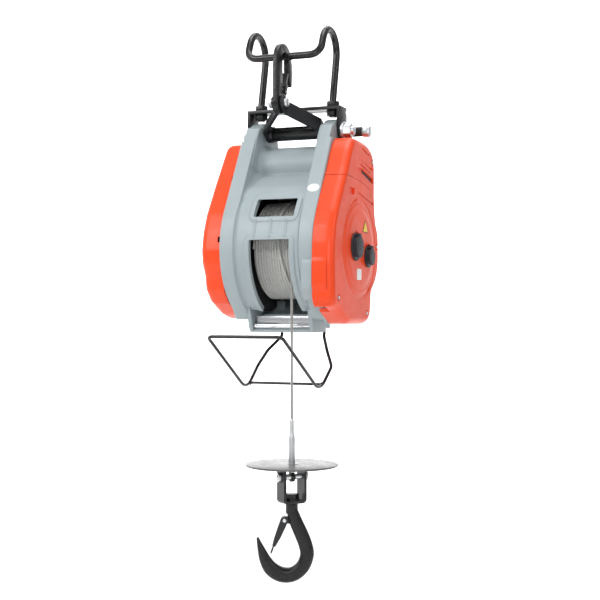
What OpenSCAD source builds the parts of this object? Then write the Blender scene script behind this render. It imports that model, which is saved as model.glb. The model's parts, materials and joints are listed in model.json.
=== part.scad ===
// Electric wire rope hoist that hangs from a scaffold tube, with its hanger, rope, stop disc and load hook.
// Origin: centre of the tube's seat in the hanger. X runs along the tube and the drum, +Y to the back, +Z up.
// The body's own modules are drawn about the drum axis, and on_drum() moves them to the origin.

/* [Suspension] */
// Outside diameter of the scaffold tube that the hanger rests on
pipe_d = 48.3; // [42:0.1:50]
// Height of the tube's axis above the drum axis
pipe_above_drum = 375; // [370:1:385]
// Diameter of the hanger's bent round bar
rod_d = 13.5; // [12:0.5:14]
// Half of the spacing between the hanger's two legs
leg_x = 72; // [70:1:74]
// Centreline radius of the hanger's bend over the tube
crown_r = 38; // [36:0.5:40]
// Diameter of the bolt that carries the hoist
carry_d = 16; // [14:1:18]
// Distance of that bolt behind the drum axis
carry_y = 20; // [16:1:24]
// Height of that bolt above the drum axis
carry_z = 221; // [218:1:224]
// Length of the yoke's arms, bolt to bolt
yoke_len = 95; // [92:1:98]
// Slope of the yoke's arms
yoke_slope = 28; // [26:1:30]
// Thickness of the safety hook's plate
hook_plate_t = 9; // [8:0.5:9]

/* [Frame] */
// Width over the cast frame's side walls
frame_w = 178.8; // [176:0.4:180]
// Width between the inner faces of the ears
ear_gap = 119; // [116:1:122]
// Radius of the frame's round front
frame_r = 130; // [128:1:131]
// Radius of the shell round the drum
shell_r = 125; // [122:1:126]
// Radius of the cast motor barrel
barrel_r = 38; // [37:0.5:39]
// Distance of the motor axis behind the drum axis
motor_y = 20; // [18:1:22]
// Height of the motor axis above the drum axis
motor_z = 157; // [156:1:159]

/* [Drum and rope] */
// Rope diameter
rope_d = 5; // [4:0.5:6]
// Radius at the middle of the outermost layer of rope
wrap_r = 92.5; // [91:0.5:93]
// Radius of the drum's bare barrel
drum_core_r = 60; // [56:1:64]
// Radius of the drum's flanges
flange_r = 112; // [108:1:113]
// Place of the hanging rope along the drum
rope_x = 36; // [30:1:40]
// Length of rope that hangs free
free_rope = 303; // [290:1:320]

/* [Drive] */
// Teeth of the big gear on the drum
drum_teeth = 72; // [72:1:72]
// Teeth of the pinion that drives it
idler_small_teeth = 18; // [18:1:18]
// Teeth of the big gear on the idler shaft
idler_big_teeth = 64; // [64:1:64]
// Teeth of the motor's pinion
motor_teeth = 16; // [16:1:16]
// Module of the drum's gear pair
drum_module = 2; // [2:0.1:2]
// Module of the motor's gear pair
motor_module = 1.75; // [1.75:0.05:1.75]

/* [Covers] */
// Distance of each cover's outer face from the middle
cover_x = 129; // [127:1:131]
// Wall thickness of the covers
cover_t = 3; // [2.5:0.1:3.5]
// Depth of the step round each cover's outer face
cover_step = 6; // [5:0.5:7]
// Height of the raised round panel on the right cover
panel_rise = 3; // [2:0.5:4]

/* [Hook block] */
// Diameter of the stop disc
disc_d = 166; // [150:1:170]
// Turn of the clevis about the rope
clevis_turn = 50; // [0:1:90]
// Turn of the load hook about the rope
hook_turn = 22; // [0:1:90]
// Outside width of the clevis
clevis_w = 46; // [44:1:50]

/* [Limit frame] */
// Diameter of the limit frame's wire
wire_d = 6; // [5:0.5:7]

/* [Hidden] */

eps = 0.01;
fine = 64;
pipe_y = 4;
half_w = frame_w / 2;
ear_in = ear_gap / 2;
ear_out = 85;
wall_in = 61.4;
crown_z = pipe_above_drum - (crown_r - rod_d / 2 - pipe_d / 2);
stud_y = 22;
plate_top = 266;
plate_t = 6;
flange_x = 86.4;
bar_y = -45;
bar_z = 352.5;
eye_y = carry_y - yoke_len * cos(yoke_slope);
eye_z = carry_z + yoke_len * sin(yoke_slope);
tie_y = 62;
tie_z = 224;
block_x = rope_x;
block_y = -wrap_r;
disc_top = -383;
disc_t = 3.5;
clevis_top = disc_top - disc_t - 0.1;
clevis_h = 66;
clevis_t = 5;
clevis_bolt_z = -406;
roller_y = -50;
roller_z = -138;
pivot_y = 57;
pivot_z = -136;
limit_x = 43;
power_at = [-25, 4];
control_at = [45, -11];
face_x = cover_x + panel_rise;
lid_hinge_x = 7.5;

// Centre distances of the two gear pairs, and the idler's place from them
far_pair = drum_module * (drum_teeth + idler_small_teeth) / 2;
near_pair = motor_module * (idler_big_teeth + motor_teeth) / 2;
motor_dist = sqrt(motor_y * motor_y + motor_z * motor_z);
idler_along = (far_pair * far_pair - near_pair * near_pair + motor_dist * motor_dist) / (2 * motor_dist);
idler_aside = sqrt(far_pair * far_pair - idler_along * idler_along);
idler_y = (motor_y * idler_along + motor_z * idler_aside) / motor_dist;
idler_z = (motor_z * idler_along - motor_y * idler_aside) / motor_dist;

black = [0.07, 0.07, 0.075];
steel = [0.78, 0.79, 0.8];
casting = [0.66, 0.71, 0.73];
orange = [0.98, 0.27, 0.1];
brass = [0.8, 0.65, 0.3];
copper = [0.72, 0.42, 0.22];
green = [0.1, 0.35, 0.2];
dark = [0.16, 0.17, 0.19];
white = [0.93, 0.93, 0.93];

// ---------- paths and sweeps ----------

function unit(v) = v / norm(v);

// Points of an arc of radius r that rounds the corner at b, between a and c
function corner(a, b, c, r, n) =
  let (u = unit(a - b), w = unit(c - b), half = acos(u * w) / 2, turn = 180 - 2 * half)
  let (centre = b + unit(u + w) * (r / sin(half)), t = r / tan(half))
  let (from = b + u * t - centre, to = b + w * t - centre)
  [for (i = [0:n]) centre + (from * sin(turn * (1 - i / n)) + to * sin(turn * i / n)) / sin(turn)];

// A path whose inner points are rounded, each to its own radius
function rounded(p, r, n) = [
  p[0],
  for (i = [1:len(p) - 2]) each corner(p[i - 1], p[i], p[i + 1], r[i - 1], n),
  p[len(p) - 1]
];

function flip_x(p) = [for (i = [len(p) - 1:-1:0]) [-p[i].x, p[i].y, p[i].z]];

function spline_at(a, b, c, d, t) =
  0.5 * (2 * b + (c - a) * t + (2 * a - 5 * b + 4 * c - d) * t * t + (3 * b - a - 3 * c + d) * t * t * t);

// A smooth curve through the points, n steps between neighbours
function smooth(p, n) = [
  for (i = [0:len(p) - 2])
    for (k = [0:n - 1])
      spline_at(p[max(i - 1, 0)], p[i], p[i + 1], p[min(i + 2, len(p) - 1)], k / n),
  p[len(p) - 1]
];

function tangent(p, i) = unit(p[min(i + 1, len(p) - 1)] - p[max(i - 1, 0)]);

function normals(p, i, found) =
  i == len(p) ? found :
  let (t = tangent(p, i), last = found[i - 1])
  normals(p, i + 1, concat(found, [unit(last - t * (last * t))]));

// A solid swept along path; sizes gives the half width along the normal and across it at each point
module sweep(path, sizes, sides, seed) {
  first = tangent(path, 0);
  n = normals(path, 1, [unit(seed - first * (first * seed))]);
  rings = [
    for (i = [0:len(path) - 1])
      let (b = cross(tangent(path, i), n[i]))
      for (k = [0:sides - 1])
        path[i] + n[i] * (sizes[i][0] * cos(360 * k / sides)) + b * (sizes[i][1] * sin(360 * k / sides))
  ];
  last = (len(path) - 1) * sides;
  walls = [
    for (i = [0:len(path) - 2])
      for (k = [0:sides - 1])
        let (a = i * sides + k, c = i * sides + (k + 1) % sides)
        [a, a + sides, c + sides, c]
  ];
  polyhedron(
    rings,
    concat([[for (k = [0:sides - 1]) k]], walls, [[for (k = [sides - 1:-1:0]) last + k]]),
    convexity = 10
  );
}

module tube(path, d, sides) {
  sweep(path, [for (p = path) [d / 2, d / 2]], sides, [0.3, 0.2, 1]);
}

// ---------- small shapes ----------

// Moves a shape drawn about the drum axis to the origin at the tube's seat
module on_drum() {
  translate([0, -pipe_y, -pipe_above_drum]) children();
}

// Cylinder along X from x0 to x1
module rod_x(x0, x1, r, y = 0, z = 0) {
  translate([x0, y, z]) rotate([0, 90, 0]) cylinder(h = x1 - x0, r = r, $fn = fine);
}

// Extrudes a shape drawn in Y and Z from x0 to x1
module slab_x(x0, x1) {
  translate([x0, 0, 0]) rotate([90, 0, 90]) linear_extrude(x1 - x0) children();
}

module ring_x(x0, x1, r_out, r_in, y = 0, z = 0) {
  difference() {
    rod_x(x0, x1, r_out, y, z);
    rod_x(x0 - 1, x1 + 1, r_in, y, z);
  }
}

module hex_x(x0, x1, across, y = 0, z = 0) {
  translate([x0, y, z]) rotate([0, 90, 0]) cylinder(h = x1 - x0, d = across / cos(30), $fn = 6);
}

module nut_x(x0, x1, across, bore_r, y = 0, z = 0) {
  difference() {
    hex_x(x0, x1, across, y, z);
    rod_x(x0 - 1, x1 + 1, bore_r, y, z);
  }
}

module both_sides() {
  children();
  mirror([1, 0, 0]) children();
}

// ---------- outlines in Y and Z ----------

function arc(cy, cz, r, a0, a1, n) = [
  for (i = [0:n]) let (a = a0 + (a1 - a0) * i / n) [cy + r * cos(a), cz + r * sin(a)]
];

// Side of the frame: straight front from the ear down to the round belly, flat bottom, hidden back
function frame_outline() = concat(
  arc(carry_y, carry_z, 22, 20, 140, 10),
  [[-14, 230], [-26, 214]],
  arc(0, 0, frame_r, 150, 236, 16),
  [[-60, -127], [58, -127]],
  arc(0, 0, 116, 300, 385, 12),
  [[98, 90], [94, 170], [78, 206]],
  arc(tie_y, tie_z, 12, -10, 100, 5)
);

// Right cover, from the top round the front
function right_outline() = [
  [-10, 204], [-22, 200], [-36, 184], [-59, 145], [-113, 64], [-126, 36], [-132, 8], [-134, -27],
  [-132, -92], [-124, -103], [-100, -110], [-52, -132], [-40, -135], [50, -136], [66, -132], [73, -122],
  [78, -84], [84, -76], [106, -60], [118, -42], [124, -20], [124, 25], [120, 38], [108, 54], [101, 78],
  [99, 100], [99, 166], [95, 180], [84, 192], [66, 199], [48, 202]
];

function left_outline() = [
  [22, 204], [-12, 201], [-24, 184], [-66, 124], [-104, 66], [-119, 32], [-126, -4], [-123, -28],
  [-111, -52], [-107, -76], [-88, -97], [-46, -118], [-20, -125], [50, -128], [72, -122], [92, -104],
  [112, -70], [124, -20], [124, 25], [112, 60], [101, 100], [99, 166], [90, 188], [66, 200]
];

// The same outline drawn in towards a point near its middle
function shrunk(p, k) = [for (q = p) [8 + (q[0] - 8) * k, 30 + (q[1] - 30) * k]];

// ---------- hanger ----------

function hanger_half() = concat(
  [[leg_x, stud_y, 247]],
  corner([leg_x, stud_y, 247], [leg_x, stud_y, 278], [leg_x, 41, 360], 40, 3),
  [for (a = [-12:13.9:155]) [leg_x, pipe_y + crown_r * cos(a), crown_z + crown_r * sin(a)]],
  corner([leg_x, -31, 383], [leg_x, bar_y, bar_z], [0, bar_y, bar_z], 20, 5)
);

module hanger_rod() {
  half = hanger_half();
  color(black) tube(concat(half, flip_x(half)), rod_d, 16);
}

module hanger_nuts() {
  color(steel)
    both_sides()
      for (z = [plate_top, plate_top - plate_t - 10.5])
        translate([leg_x, stud_y, z]) difference() {
          cylinder(h = 10.5, d = 22 / cos(30), $fn = 6);
          translate([0, 0, -1]) cylinder(h = 13, r = rod_d / 2 + 0.15, $fn = fine);
        }
}

module hanger_bracket() {
  color(black) difference() {
    union() {
      translate([-flange_x - plate_t, stud_y - 20, plate_top - plate_t])
        cube([2 * (flange_x + plate_t), 40, plate_t]);
      both_sides() slab_x(flange_x, flange_x + plate_t) union() {
        polygon([[2, 266], [30, 266], [42, 252], [42, 240], [33.5, 221], [6.5, 221], [2, 238]]);
        translate([carry_y, carry_z]) circle(r = 14, $fn = fine);
      }
    }
    rod_x(-100, 100, carry_d / 2 + 0.1, carry_y, carry_z);
    both_sides() translate([leg_x, stud_y, 250]) cylinder(h = 30, r = rod_d / 2 + 0.3, $fn = fine);
  }
}

module carry_bolt() {
  color(steel) union() {
    rod_x(-93, 115, carry_d / 2, carry_y, carry_z);
    hex_x(-103, -92.5, 24, carry_y, carry_z);
  }
}

module carry_nut() {
  color(steel) nut_x(97, 110, 24, carry_d / 2 + 0.02, carry_y, carry_z);
  color(black) ring_x(92.5, 97, 17, carry_d / 2 + 0.2, carry_y, carry_z);
}

module spacer_tube() {
  color(black) ring_x(-43.5, 43.5, 13, carry_d / 2 + 0.3, carry_y, carry_z);
}

// ---------- yoke and safety hook ----------

module yoke_arm() {
  translate([0, carry_y, carry_z]) rotate([-yoke_slope, 0, 0]) difference() {
    union() {
      translate([0, 0, -13]) linear_extrude(26) polygon([
        [56, 6], [56, -24], [11, -80], [11, -yoke_len], [5, -yoke_len], [5, -77], [50, -21.5], [50, 6]
      ]);
      rod_x(44, 56, 15);
      rod_x(5, 11, 13, -yoke_len, 0);
    }
    rod_x(40, 60, carry_d / 2 + 0.05);
    rod_x(0, 20, 5.1, -yoke_len, 0);
  }
}

module yoke_arm_right() {
  color(black) yoke_arm();
}

module yoke_arm_left() {
  color(black) mirror([1, 0, 0]) yoke_arm();
}

module yoke_bolt() {
  color(steel) union() {
    rod_x(-21, 11.5, 5, eye_y, eye_z);
    rod_x(11.1, 17, 8, eye_y, eye_z);
  }
  color(steel) nut_x(-19, -11.1, 16, 5.02, eye_y, eye_z);
}

module safety_hook() {
  color(black) difference() {
    slab_x(-hook_plate_t / 2, hook_plate_t / 2) difference() {
      union() {
        translate([eye_y, eye_z]) circle(r = 20, $fn = fine);
        translate([-48, 287]) circle(r = 8, $fn = fine);
        polygon(concat(
          [[-52, 281], [-58, 292], [-58, 347.2]],
          arc(-45, 347.2, 13, 180, 0, 12),
          [[-32, 332], [-28, 316], [-21, 303], [-17, 301], [-13.5, 303], [-11.5, 325], [-12, 341]],
          [[-16, 355], [-24, 366], [-36, 373], [-51, 375], [-66, 371], [-77, 361], [-82, 349]],
          [[-83.8, 335], [-83.8, 266], [-64, 260]]
        ));
      }
      translate([-48, 287]) circle(r = 2.6, $fn = fine);
    }
    rod_x(-10, 10, 5.06, eye_y, eye_z);
  }
}

module safety_latch_pin() {
  color(steel) rod_x(-8.5, 8.5, 2.5, -48, 287);
}

module safety_latch() {
  color(steel) translate([0, -48, 287]) rotate([69, 0, 0]) difference() {
    union() {
      both_sides() slab_x(5.2, 7.2) union() {
        circle(r = 5, $fn = fine);
        translate([0, -4.2]) square([16, 8.4]);
      }
      translate([-7.2, 10.5, -4.2]) cube([14.4, 5.5, 8.4]);
      translate([-5.2, 15, -3]) cube([10.4, 24, 6]);
    }
    rod_x(-10, 10, 2.56);
  }
}

// ---------- cast frame ----------

module frame_wall() {
  difference() {
    slab_x(wall_in, half_w) polygon(frame_outline());
    slab_x(wall_in + 6, half_w + 1) intersection() {
      polygon(shrunk(frame_outline(), 0.94));
      translate([-200, -200]) square([400, 385]);
    }
    translate([ear_out, -60, 205]) cube([20, 200, 60]);
  }
  slab_x(ear_in, wall_in + 1) intersection() {
    polygon(frame_outline());
    translate([-60, 150]) square([160, 120]);
  }
  rod_x(wall_in, 84, 30);
  rod_x(wall_in, 77.5, 20, motor_y, motor_z);
}

module drum_shell() {
  slab_x(-wall_in - 1, wall_in + 1) difference() {
    union() {
      circle(r = shell_r, $fn = 128);
      polygon([[-108.3, 62.5], [-93, 89], [-24, 140], [-8, 186], [20, 195], [78, 190], [112, 56], [0, 0]]);
    }
    circle(r = shell_r - 7, $fn = 128);
    polygon([[-101, 60], [-88, 83], [-22, 132], [73, 181], [104, 58], [0, 0]]);
    translate([-60, -140]) square([62, 30]);
  }
}

module outlet_chute() {
  both_sides() slab_x(56, wall_in + 1)
    polygon([[-70, -104], [-56, -142], [-50, -150], [4, -150], [24, -119], [-22, -123]]);
  translate([-wall_in, -52, -150]) cube([2 * wall_in, 10, 5.5]);
  translate([-wall_in, -1, -150]) cube([2 * wall_in, 5, 30]);
}

module drum_frame() {
  color(casting) difference() {
    union() {
      both_sides() frame_wall();
      drum_shell();
      rod_x(-wall_in - 1, wall_in + 1, barrel_r, motor_y, motor_z);
      outlet_chute();
      slab_x(84, half_w) polygon([[-60, -126], [-52, -134.5], [52, -134.5], [58, -126]]);
      both_sides() slab_x(34, 52) union() {
        translate([pivot_y, pivot_z]) circle(r = 9, $fn = fine);
        polygon([[pivot_y - 9, pivot_z], [46, -108], [70, -98], [pivot_y + 9, pivot_z]]);
      }
    }
    rod_x(-100, 100, 12.5);
    both_sides() rod_x(wall_in + 4, 90, 21);
    rod_x(-wall_in + 1, wall_in - 1, barrel_r - 4, motor_y, motor_z);
    rod_x(-100, 100, 7, motor_y, motor_z);
    both_sides() rod_x(wall_in + 4, 90, 14, motor_y, motor_z);
    rod_x(-100, 100, 10, carry_y, carry_z);
    rod_x(-100, 100, 6.1, tie_y, tie_z);
    rod_x(-100, -wall_in + 2, 6.05, idler_y, idler_z);
    translate([-29, -130, 56]) cube([77, 45, 33]);
    translate([-33, -135, -110]) cube([77, 100, 125]);
    both_sides() translate([40, pivot_y - 12, pivot_z - 10]) cube([7, 24, 26]);
    rod_x(30, 60, 2.6, pivot_y, pivot_z);
    rod_x(-60, -30, 2.6, pivot_y, pivot_z);
    rod_x(-60, 60, 3.05, roller_y, roller_z);
  }
}

module ear_bushes() {
  color(brass) both_sides() ring_x(ear_in + 0.5, ear_out, 9.96, carry_d / 2 + 0.06, carry_y, carry_z);
}

module tie_bolt() {
  color(steel) union() {
    rod_x(-96, 120, 6, tie_y, tie_z);
    hex_x(118, 132, 19, tie_y, tie_z);
  }
  color(steel) nut_x(-95, -85.2, 19, 6.02, tie_y, tie_z);
}

module tie_sleeve() {
  color(black) ring_x(85.2, 117.8, 9, 6.1, tie_y, tie_z);
}

// ---------- covers ----------

right_screws = [[-104, -88], [50, -116], [110, 10], [84, 168]];
left_screws = [[-80, -88], [60, -112], [112, 0], [82, 176], [-60, 108]];

module screw_holes(places, x) {
  for (p = places)
    rod_x(x - 12, x + 12, 3.45, p[0], p[1]);
}

module left_cover() {
  color(orange) difference() {
    union() {
      slab_x(-cover_x + cover_step, -half_w - 0.2) polygon(left_outline());
      slab_x(-cover_x, -cover_x + cover_step + 0.5) polygon(shrunk(left_outline(), 0.96));
      rod_x(-cover_x - panel_rise, -cover_x + 1, 84);
    }
    slab_x(-cover_x + cover_step + cover_t, -half_w) polygon(shrunk(left_outline(), 0.965));
    slab_x(-cover_x + cover_t, -cover_x + cover_step + cover_t + 1) polygon(shrunk(left_outline(), 0.93));
    for (p = [[-60, 128], [-122, 12]])
      translate([-half_w - 6, p[0] - 6, p[1]]) rotate([-30, 0, 0]) cube([5, 14, 10]);
    screw_holes(left_screws, -cover_x);
  }
}

seam_line = [[-90, 132], [-43, 129], [-18, 128], [7, 126], [71, 115], [73, 104], [120, 104]];

module seam_region(gap) {
  polygon(concat([for (p = seam_line) [p[0] + gap / 2, p[1] + gap]], [[120, 240], [-90, 240]]));
}

module right_shell() {
  difference() {
    union() {
      slab_x(half_w + 0.2, cover_x - cover_step) polygon(right_outline());
      slab_x(cover_x - cover_step - 0.5, cover_x) polygon(shrunk(right_outline(), 0.955));
    }
    slab_x(half_w, cover_x - cover_step - cover_t) polygon(shrunk(right_outline(), 0.965));
    slab_x(cover_x - cover_step - cover_t - 1, cover_x - cover_t) polygon(shrunk(right_outline(), 0.925));
  }
}

module right_cover_lower() {
  color(orange) difference() {
    union() {
      difference() {
        right_shell();
        slab_x(half_w, cover_x + 5) seam_region(0);
      }
      difference() {
        rod_x(cover_x - cover_t, face_x, 82, 8, 2);
        rod_x(cover_x - cover_t - 1, cover_x, 78, 8, 2);
      }
    }
    rod_x(cover_x - 10, face_x + 5, 18.1, power_at[0], power_at[1]);
    rod_x(cover_x - 10, face_x + 5, 14.1, control_at[0], control_at[1]);
    vent_slots();
    screw_holes(right_screws, cover_x);
  }
}

// Each slot runs from one y, z place to another, and has a width
vent_lines = [[18, 169, 79, 157, 4], [26, 188, 63, 180, 2.5], [15, 158, 67, 148, 2], [3, 107, 90, 92, 4]];
vent_window = [[24, 149], [86, 136], [88, 129], [26, 142]];

module vent_slots() {
  slab_x(cover_x - 12, cover_x + 8) {
    for (p = vent_lines)
      polygon([[p[0], p[1]], [p[2], p[3]], [p[2] + 1, p[3] - p[4]], [p[0] + 1, p[1] - p[4]]]);
    polygon(vent_window);
  }
}

module right_cover_upper() {
  color(orange) difference() {
    intersection() {
      right_shell();
      slab_x(half_w, cover_x + 5) seam_region(0.6);
    }
    vent_slots();
    screw_holes(right_screws, cover_x);
  }
}

module cover_screws() {
  color(steel) {
    for (p = right_screws)
      rod_x(cover_x - 8, cover_x + 0.6, 3.4, p[0], p[1]);
    for (p = left_screws)
      rod_x(-cover_x - 0.6, -cover_x + 8, 3.4, p[0], p[1]);
  }
}

module vent_grille() {
  color(dark) slab_x(cover_x - cover_t - 2.4, cover_x - cover_t - 0.4)
    polygon([[-14, 128], [89, 122], [89, 146], [72, 160], [66, 176], [60, 186], [10, 186]]);
}

module labels() {
  color(white) slab_x(face_x, face_x + 0.5) {
    translate([-16, -55]) square([24, 20]);
    polygon([[17, 33], [45, 33], [31, 55]]);
  }
}

// ---------- gear train ----------

// Half angle of a tooth at radius r, for base radius rb and half angle h at pitch radius rp
function half_tooth(r, rb, rp, h) =
  let (a = acos(min(1, rb / max(r, rb))), p = acos(rb / rp))
  h - (tan(a) * 180 / PI - a) + (tan(p) * 180 / PI - p);

module gear_profile(teeth, m) {
  rp = m * teeth / 2;
  rb = rp * cos(20);
  top = rp + 0.95 * m;
  root = rp - 1.25 * m;
  h = 90 / teeth * 0.93;
  levels = [root, max(rb, root + 0.2), rp - 0.2 * m, rp + 0.4 * m, top];
  polygon([
    for (t = [0:teeth - 1])
      each concat(
        [for (r = levels) let (a = 360 * t / teeth - half_tooth(r, rb, rp, h)) [r * cos(a), r * sin(a)]],
        [for (i = [4:-1:0]) let (a = 360 * t / teeth + half_tooth(levels[i], rb, rp, h))
          [levels[i] * cos(a), levels[i] * sin(a)]]
      )
  ]);
}

plate_outline = [[-74, -70], [-66, -78], [66, -78], [76, -68], [84, 40], [90, 138], [84, 154], [58, 184],
  [6, 184], [-58, 126], [-82, 20]];
stud_places = [[-66, -66], [66, -66], [80, 142], [-54, 116]];
idler_dir = atan2(idler_z, idler_y);
motor_dir = atan2(motor_z - idler_z, motor_y - idler_y);

module drum_gear() {
  color(steel) difference() {
    slab_x(-101, -92) rotate(idler_dir) gear_profile(drum_teeth, drum_module);
    rod_x(-110, -80, 12.02);
    for (k = [0:5])
      rotate([60 * k, 0, 0]) rod_x(-110, -80, 13, 42, 0);
  }
}

module idler_shaft() {
  color(steel) union() {
    slab_x(-102, -91.5) translate([idler_y, idler_z]) rotate(idler_dir + 180 + 180 / idler_small_teeth)
      gear_profile(idler_small_teeth, drum_module);
    rod_x(-121, -62, 6, idler_y, idler_z);
  }
}

module idler_gear() {
  color(steel) difference() {
    slab_x(-113, -105) translate([idler_y, idler_z]) rotate(motor_dir)
      gear_profile(idler_big_teeth, motor_module);
    rod_x(-115, -104, 6.02, idler_y, idler_z);
    for (k = [0:4])
      translate([0, idler_y, idler_z]) rotate([72 * k, 0, 0]) rod_x(-115, -104, 10, 33, 0);
  }
}

module motor_pinion() {
  color(steel) difference() {
    slab_x(-114, -104) translate([motor_y, motor_z]) rotate(motor_dir + 180 + 180 / motor_teeth)
      gear_profile(motor_teeth, motor_module);
    rod_x(-120, -100, 5.02, motor_y, motor_z);
  }
}

module gear_plate() {
  color(casting) difference() {
    slab_x(-119, -116) difference() {
      polygon(plate_outline);
      translate([-30, 60]) circle(r = 22, $fn = fine);
      translate([46, 10]) circle(r = 18, $fn = fine);
      translate([-46, -10]) circle(r = 18, $fn = fine);
    }
    for (p = stud_places)
      rod_x(-120, -115, 4.1, p[0], p[1]);
    rod_x(-125, -110, 12.06);
    rod_x(-125, -110, 6.05, idler_y, idler_z);
  }
}

module gear_plate_studs() {
  color(steel)
    for (p = stud_places) {
      rod_x(-122, -67.5, 4, p[0], p[1]);
      ring_x(-115.9, -110, 6, 4.02, p[0], p[1]);
    }
}

module motor_stator() {
  color(copper) ring_x(-44, 44, barrel_r - 4.2, 22, motor_y, motor_z);
}

module motor_rotor() {
  color(steel) ring_x(-40, 40, 21.4, 6.01, motor_y, motor_z);
}

module rotor_shaft() {
  color(steel) union() {
    rod_x(-63, 112, 6, motor_y, motor_z);
    rod_x(-115, -62, 5, motor_y, motor_z);
  }
}

module rotor_bearings() {
  color(steel) {
    ring_x(-77, -66, 13.95, 5.03, motor_y, motor_z);
    ring_x(66, 77, 13.95, 6.03, motor_y, motor_z);
  }
}

module cooling_fan() {
  color(dark) difference() {
    union() {
      rod_x(102, 111, 9, motor_y, motor_z);
      for (k = [0:7])
        translate([0, motor_y, motor_z]) rotate([45 * k, 0, 0]) translate([102, 7, -1]) cube([9, 22, 2]);
      ring_x(101, 103, 30, 7, motor_y, motor_z);
    }
    rod_x(98, 115, 6.01, motor_y, motor_z);
  }
}

module brake_coil() {
  color(copper) ring_x(78, 88, 26, 8, motor_y, motor_z);
}

module brake_armature() {
  color(steel) ring_x(89, 93, 26, 8, motor_y, motor_z);
}

// ---------- drum ----------

module drum() {
  color(casting) difference() {
    union() {
      rod_x(-50, 50, drum_core_r);
      both_sides() rod_x(50 - eps, 56, flange_r);
    }
    rod_x(-60, 60, 12.04);
    both_sides() rod_x(30, 60, 48);
  }
  color(casting) both_sides() ring_x(29, 58, 20, 12.04);
}

module drum_shaft() {
  color(steel) rod_x(-122, 86, 12);
}

module drum_bearings() {
  color(steel) {
    ring_x(-80, -66, 20.95, 12.05);
    ring_x(66, 80, 20.95, 12.05);
  }
}

module rope_winding() {
  color(steel) ring_x(-49.8, 49.8, wrap_r - rope_d / 2 - 0.3, drum_core_r + 0.05);
}

module rope_clamp() {
  color(dark) intersection() {
    translate([56.05, -10, 96]) cube([3, 20, 12]);
    ring_x(56, 60, flange_r - 1, 90);
  }
}

// ---------- electrics ----------

module control_board() {
  color(green) translate([96, -70, -70]) cube([1.6, 140, 90]);
}

module board_parts() {
  color(dark) for (p = [[-62, -60, 24, 30, 24], [-30, -60, 18, 34, 30], [0, -62, 30, 26, 22], [40, -60, 24, 24, 20]])
    translate([97.7, p[0], p[1]]) cube([p[4] * 0.7, p[2], p[3]]);
  color(steel) translate([97.7, -10, -28]) cube([12, 34, 20]);
  color(brass) for (k = [0:4])
    translate([97.7, 30 + 7 * k, -28]) cube([8, 6, 8]);
}

module radio_receiver() {
  color(black) translate([93, -78, 28]) cube([16, 44, 30]);
  color(black) rod_x(109.1, 112, 4, -56, 44);
}

// Two small ears with round ends, and a pin, that carry a socket's lid
module lid_hinge(at, r) {
  for (y = [-8.6, 6.3]) {
    translate([face_x + 2.9, at[0] + y, at[1] + r + 1.4]) cube([lid_hinge_x - 2.9, 2.3, 4.2]);
    translate([face_x + lid_hinge_x, at[0] + y, at[1] + r + 3.5]) rotate([-90, 0, 0])
      cylinder(h = 2.3, r = 2.1, $fn = fine);
  }
  translate([face_x + lid_hinge_x, at[0] - 8, at[1] + r + 3.5]) rotate([-90, 0, 0])
    cylinder(h = 16, r = 1.2, $fn = fine);
}

module socket_body(at, r, flange, pins) {
  color(dark) difference() {
    union() {
      rod_x(cover_x - 16, face_x + 6, r, at[0], at[1]);
      rod_x(face_x + 0.1, face_x + 3, flange, at[0], at[1]);
      lid_hinge(at, r);
    }
    rod_x(cover_x - 10, face_x + 7, r - 3, at[0], at[1]);
  }
  color(brass) for (k = [0:pins - 1])
    translate([0, at[0], at[1]]) rotate([360 * k / pins, 0, 0]) rod_x(cover_x - 10.1, face_x, 2, r * 0.45, 0);
}

module power_socket() {
  socket_body(power_at, 18, 25, 3);
}

module control_socket() {
  socket_body(control_at, 14, 20, 4);
}

// Hinged lid of a socket, with its ears on top round the hinge pin
module socket_lid(at, r) {
  color(dark) difference() {
    union() {
      rod_x(face_x + 6.3, face_x + 10, r + 2, at[0], at[1]);
      translate([face_x + 5, at[0] - 6, at[1] + r + 1]) cube([5, 12, 5]);
    }
    translate([face_x + lid_hinge_x, at[0] - 7, at[1] + r + 3.5]) rotate([-90, 0, 0])
      cylinder(h = 14, r = 1.26, $fn = fine);
  }
}

module power_cap() {
  socket_lid(power_at, 18);
}

module control_cap() {
  socket_lid(control_at, 14);
}

// ---------- rope outlet and limit frame ----------

// Polished plate behind the roller, with a rib near each end
module outlet_guide() {
  color(steel) {
    translate([-55.95, -45, -134]) cube([111.9, 1.5, 13.5]);
    both_sides() translate([49.5, -47, -134]) cube([1.6, 2.1, 13.5]);
  }
}

module outlet_roller() {
  color(steel) ring_x(-55.5, 55.5, 4.8, 3.08, roller_y, roller_z);
}

module outlet_pin() {
  color(steel) rod_x(-59.5, 59.5, 3, roller_y, roller_z);
}

module limit_frame() {
  half = rounded([
    [limit_x, pivot_y - 1, pivot_z - 4], [limit_x, 53, -160], [60, 24, -186], [74, 10, -214],
    [72, -48, -256], [69, -219, -155], [0, -219, -155]
  ], [8, 10, 12, 24, 8], 5);
  all = concat([for (i = [0:len(half) - 2]) half[i]], [for (i = [1:len(half) - 1]) flip_x(half)[i]]);
  color(black) {
    difference() {
      union() {
        tube(all, wire_d, 12);
        both_sides() rod_x(40.2, 46.8, 6.5, pivot_y, pivot_z);
        rod_x(-72, 72, 2.6, -32, -244.4);
      }
      rod_x(-60, 60, 2.55, pivot_y, pivot_z);
    }
  }
}

module limit_pins() {
  color(steel) both_sides() rod_x(34, 52, 2.5, pivot_y, pivot_z);
}

module limit_switch() {
  color(dark) difference() {
    translate([8, 44, -136]) cube([22, 24, 31]);
    rod_x(0, 40, shell_r + 0.1);
  }
  color(steel) translate([12, 48, -139]) cube([14, 16, 2.9]);
}

// ---------- rope and hook block ----------

module hoist_rope() {
  color(steel) translate([block_x, block_y, -free_rope]) cylinder(h = free_rope, r = rope_d / 2, $fn = 24);
}

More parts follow.
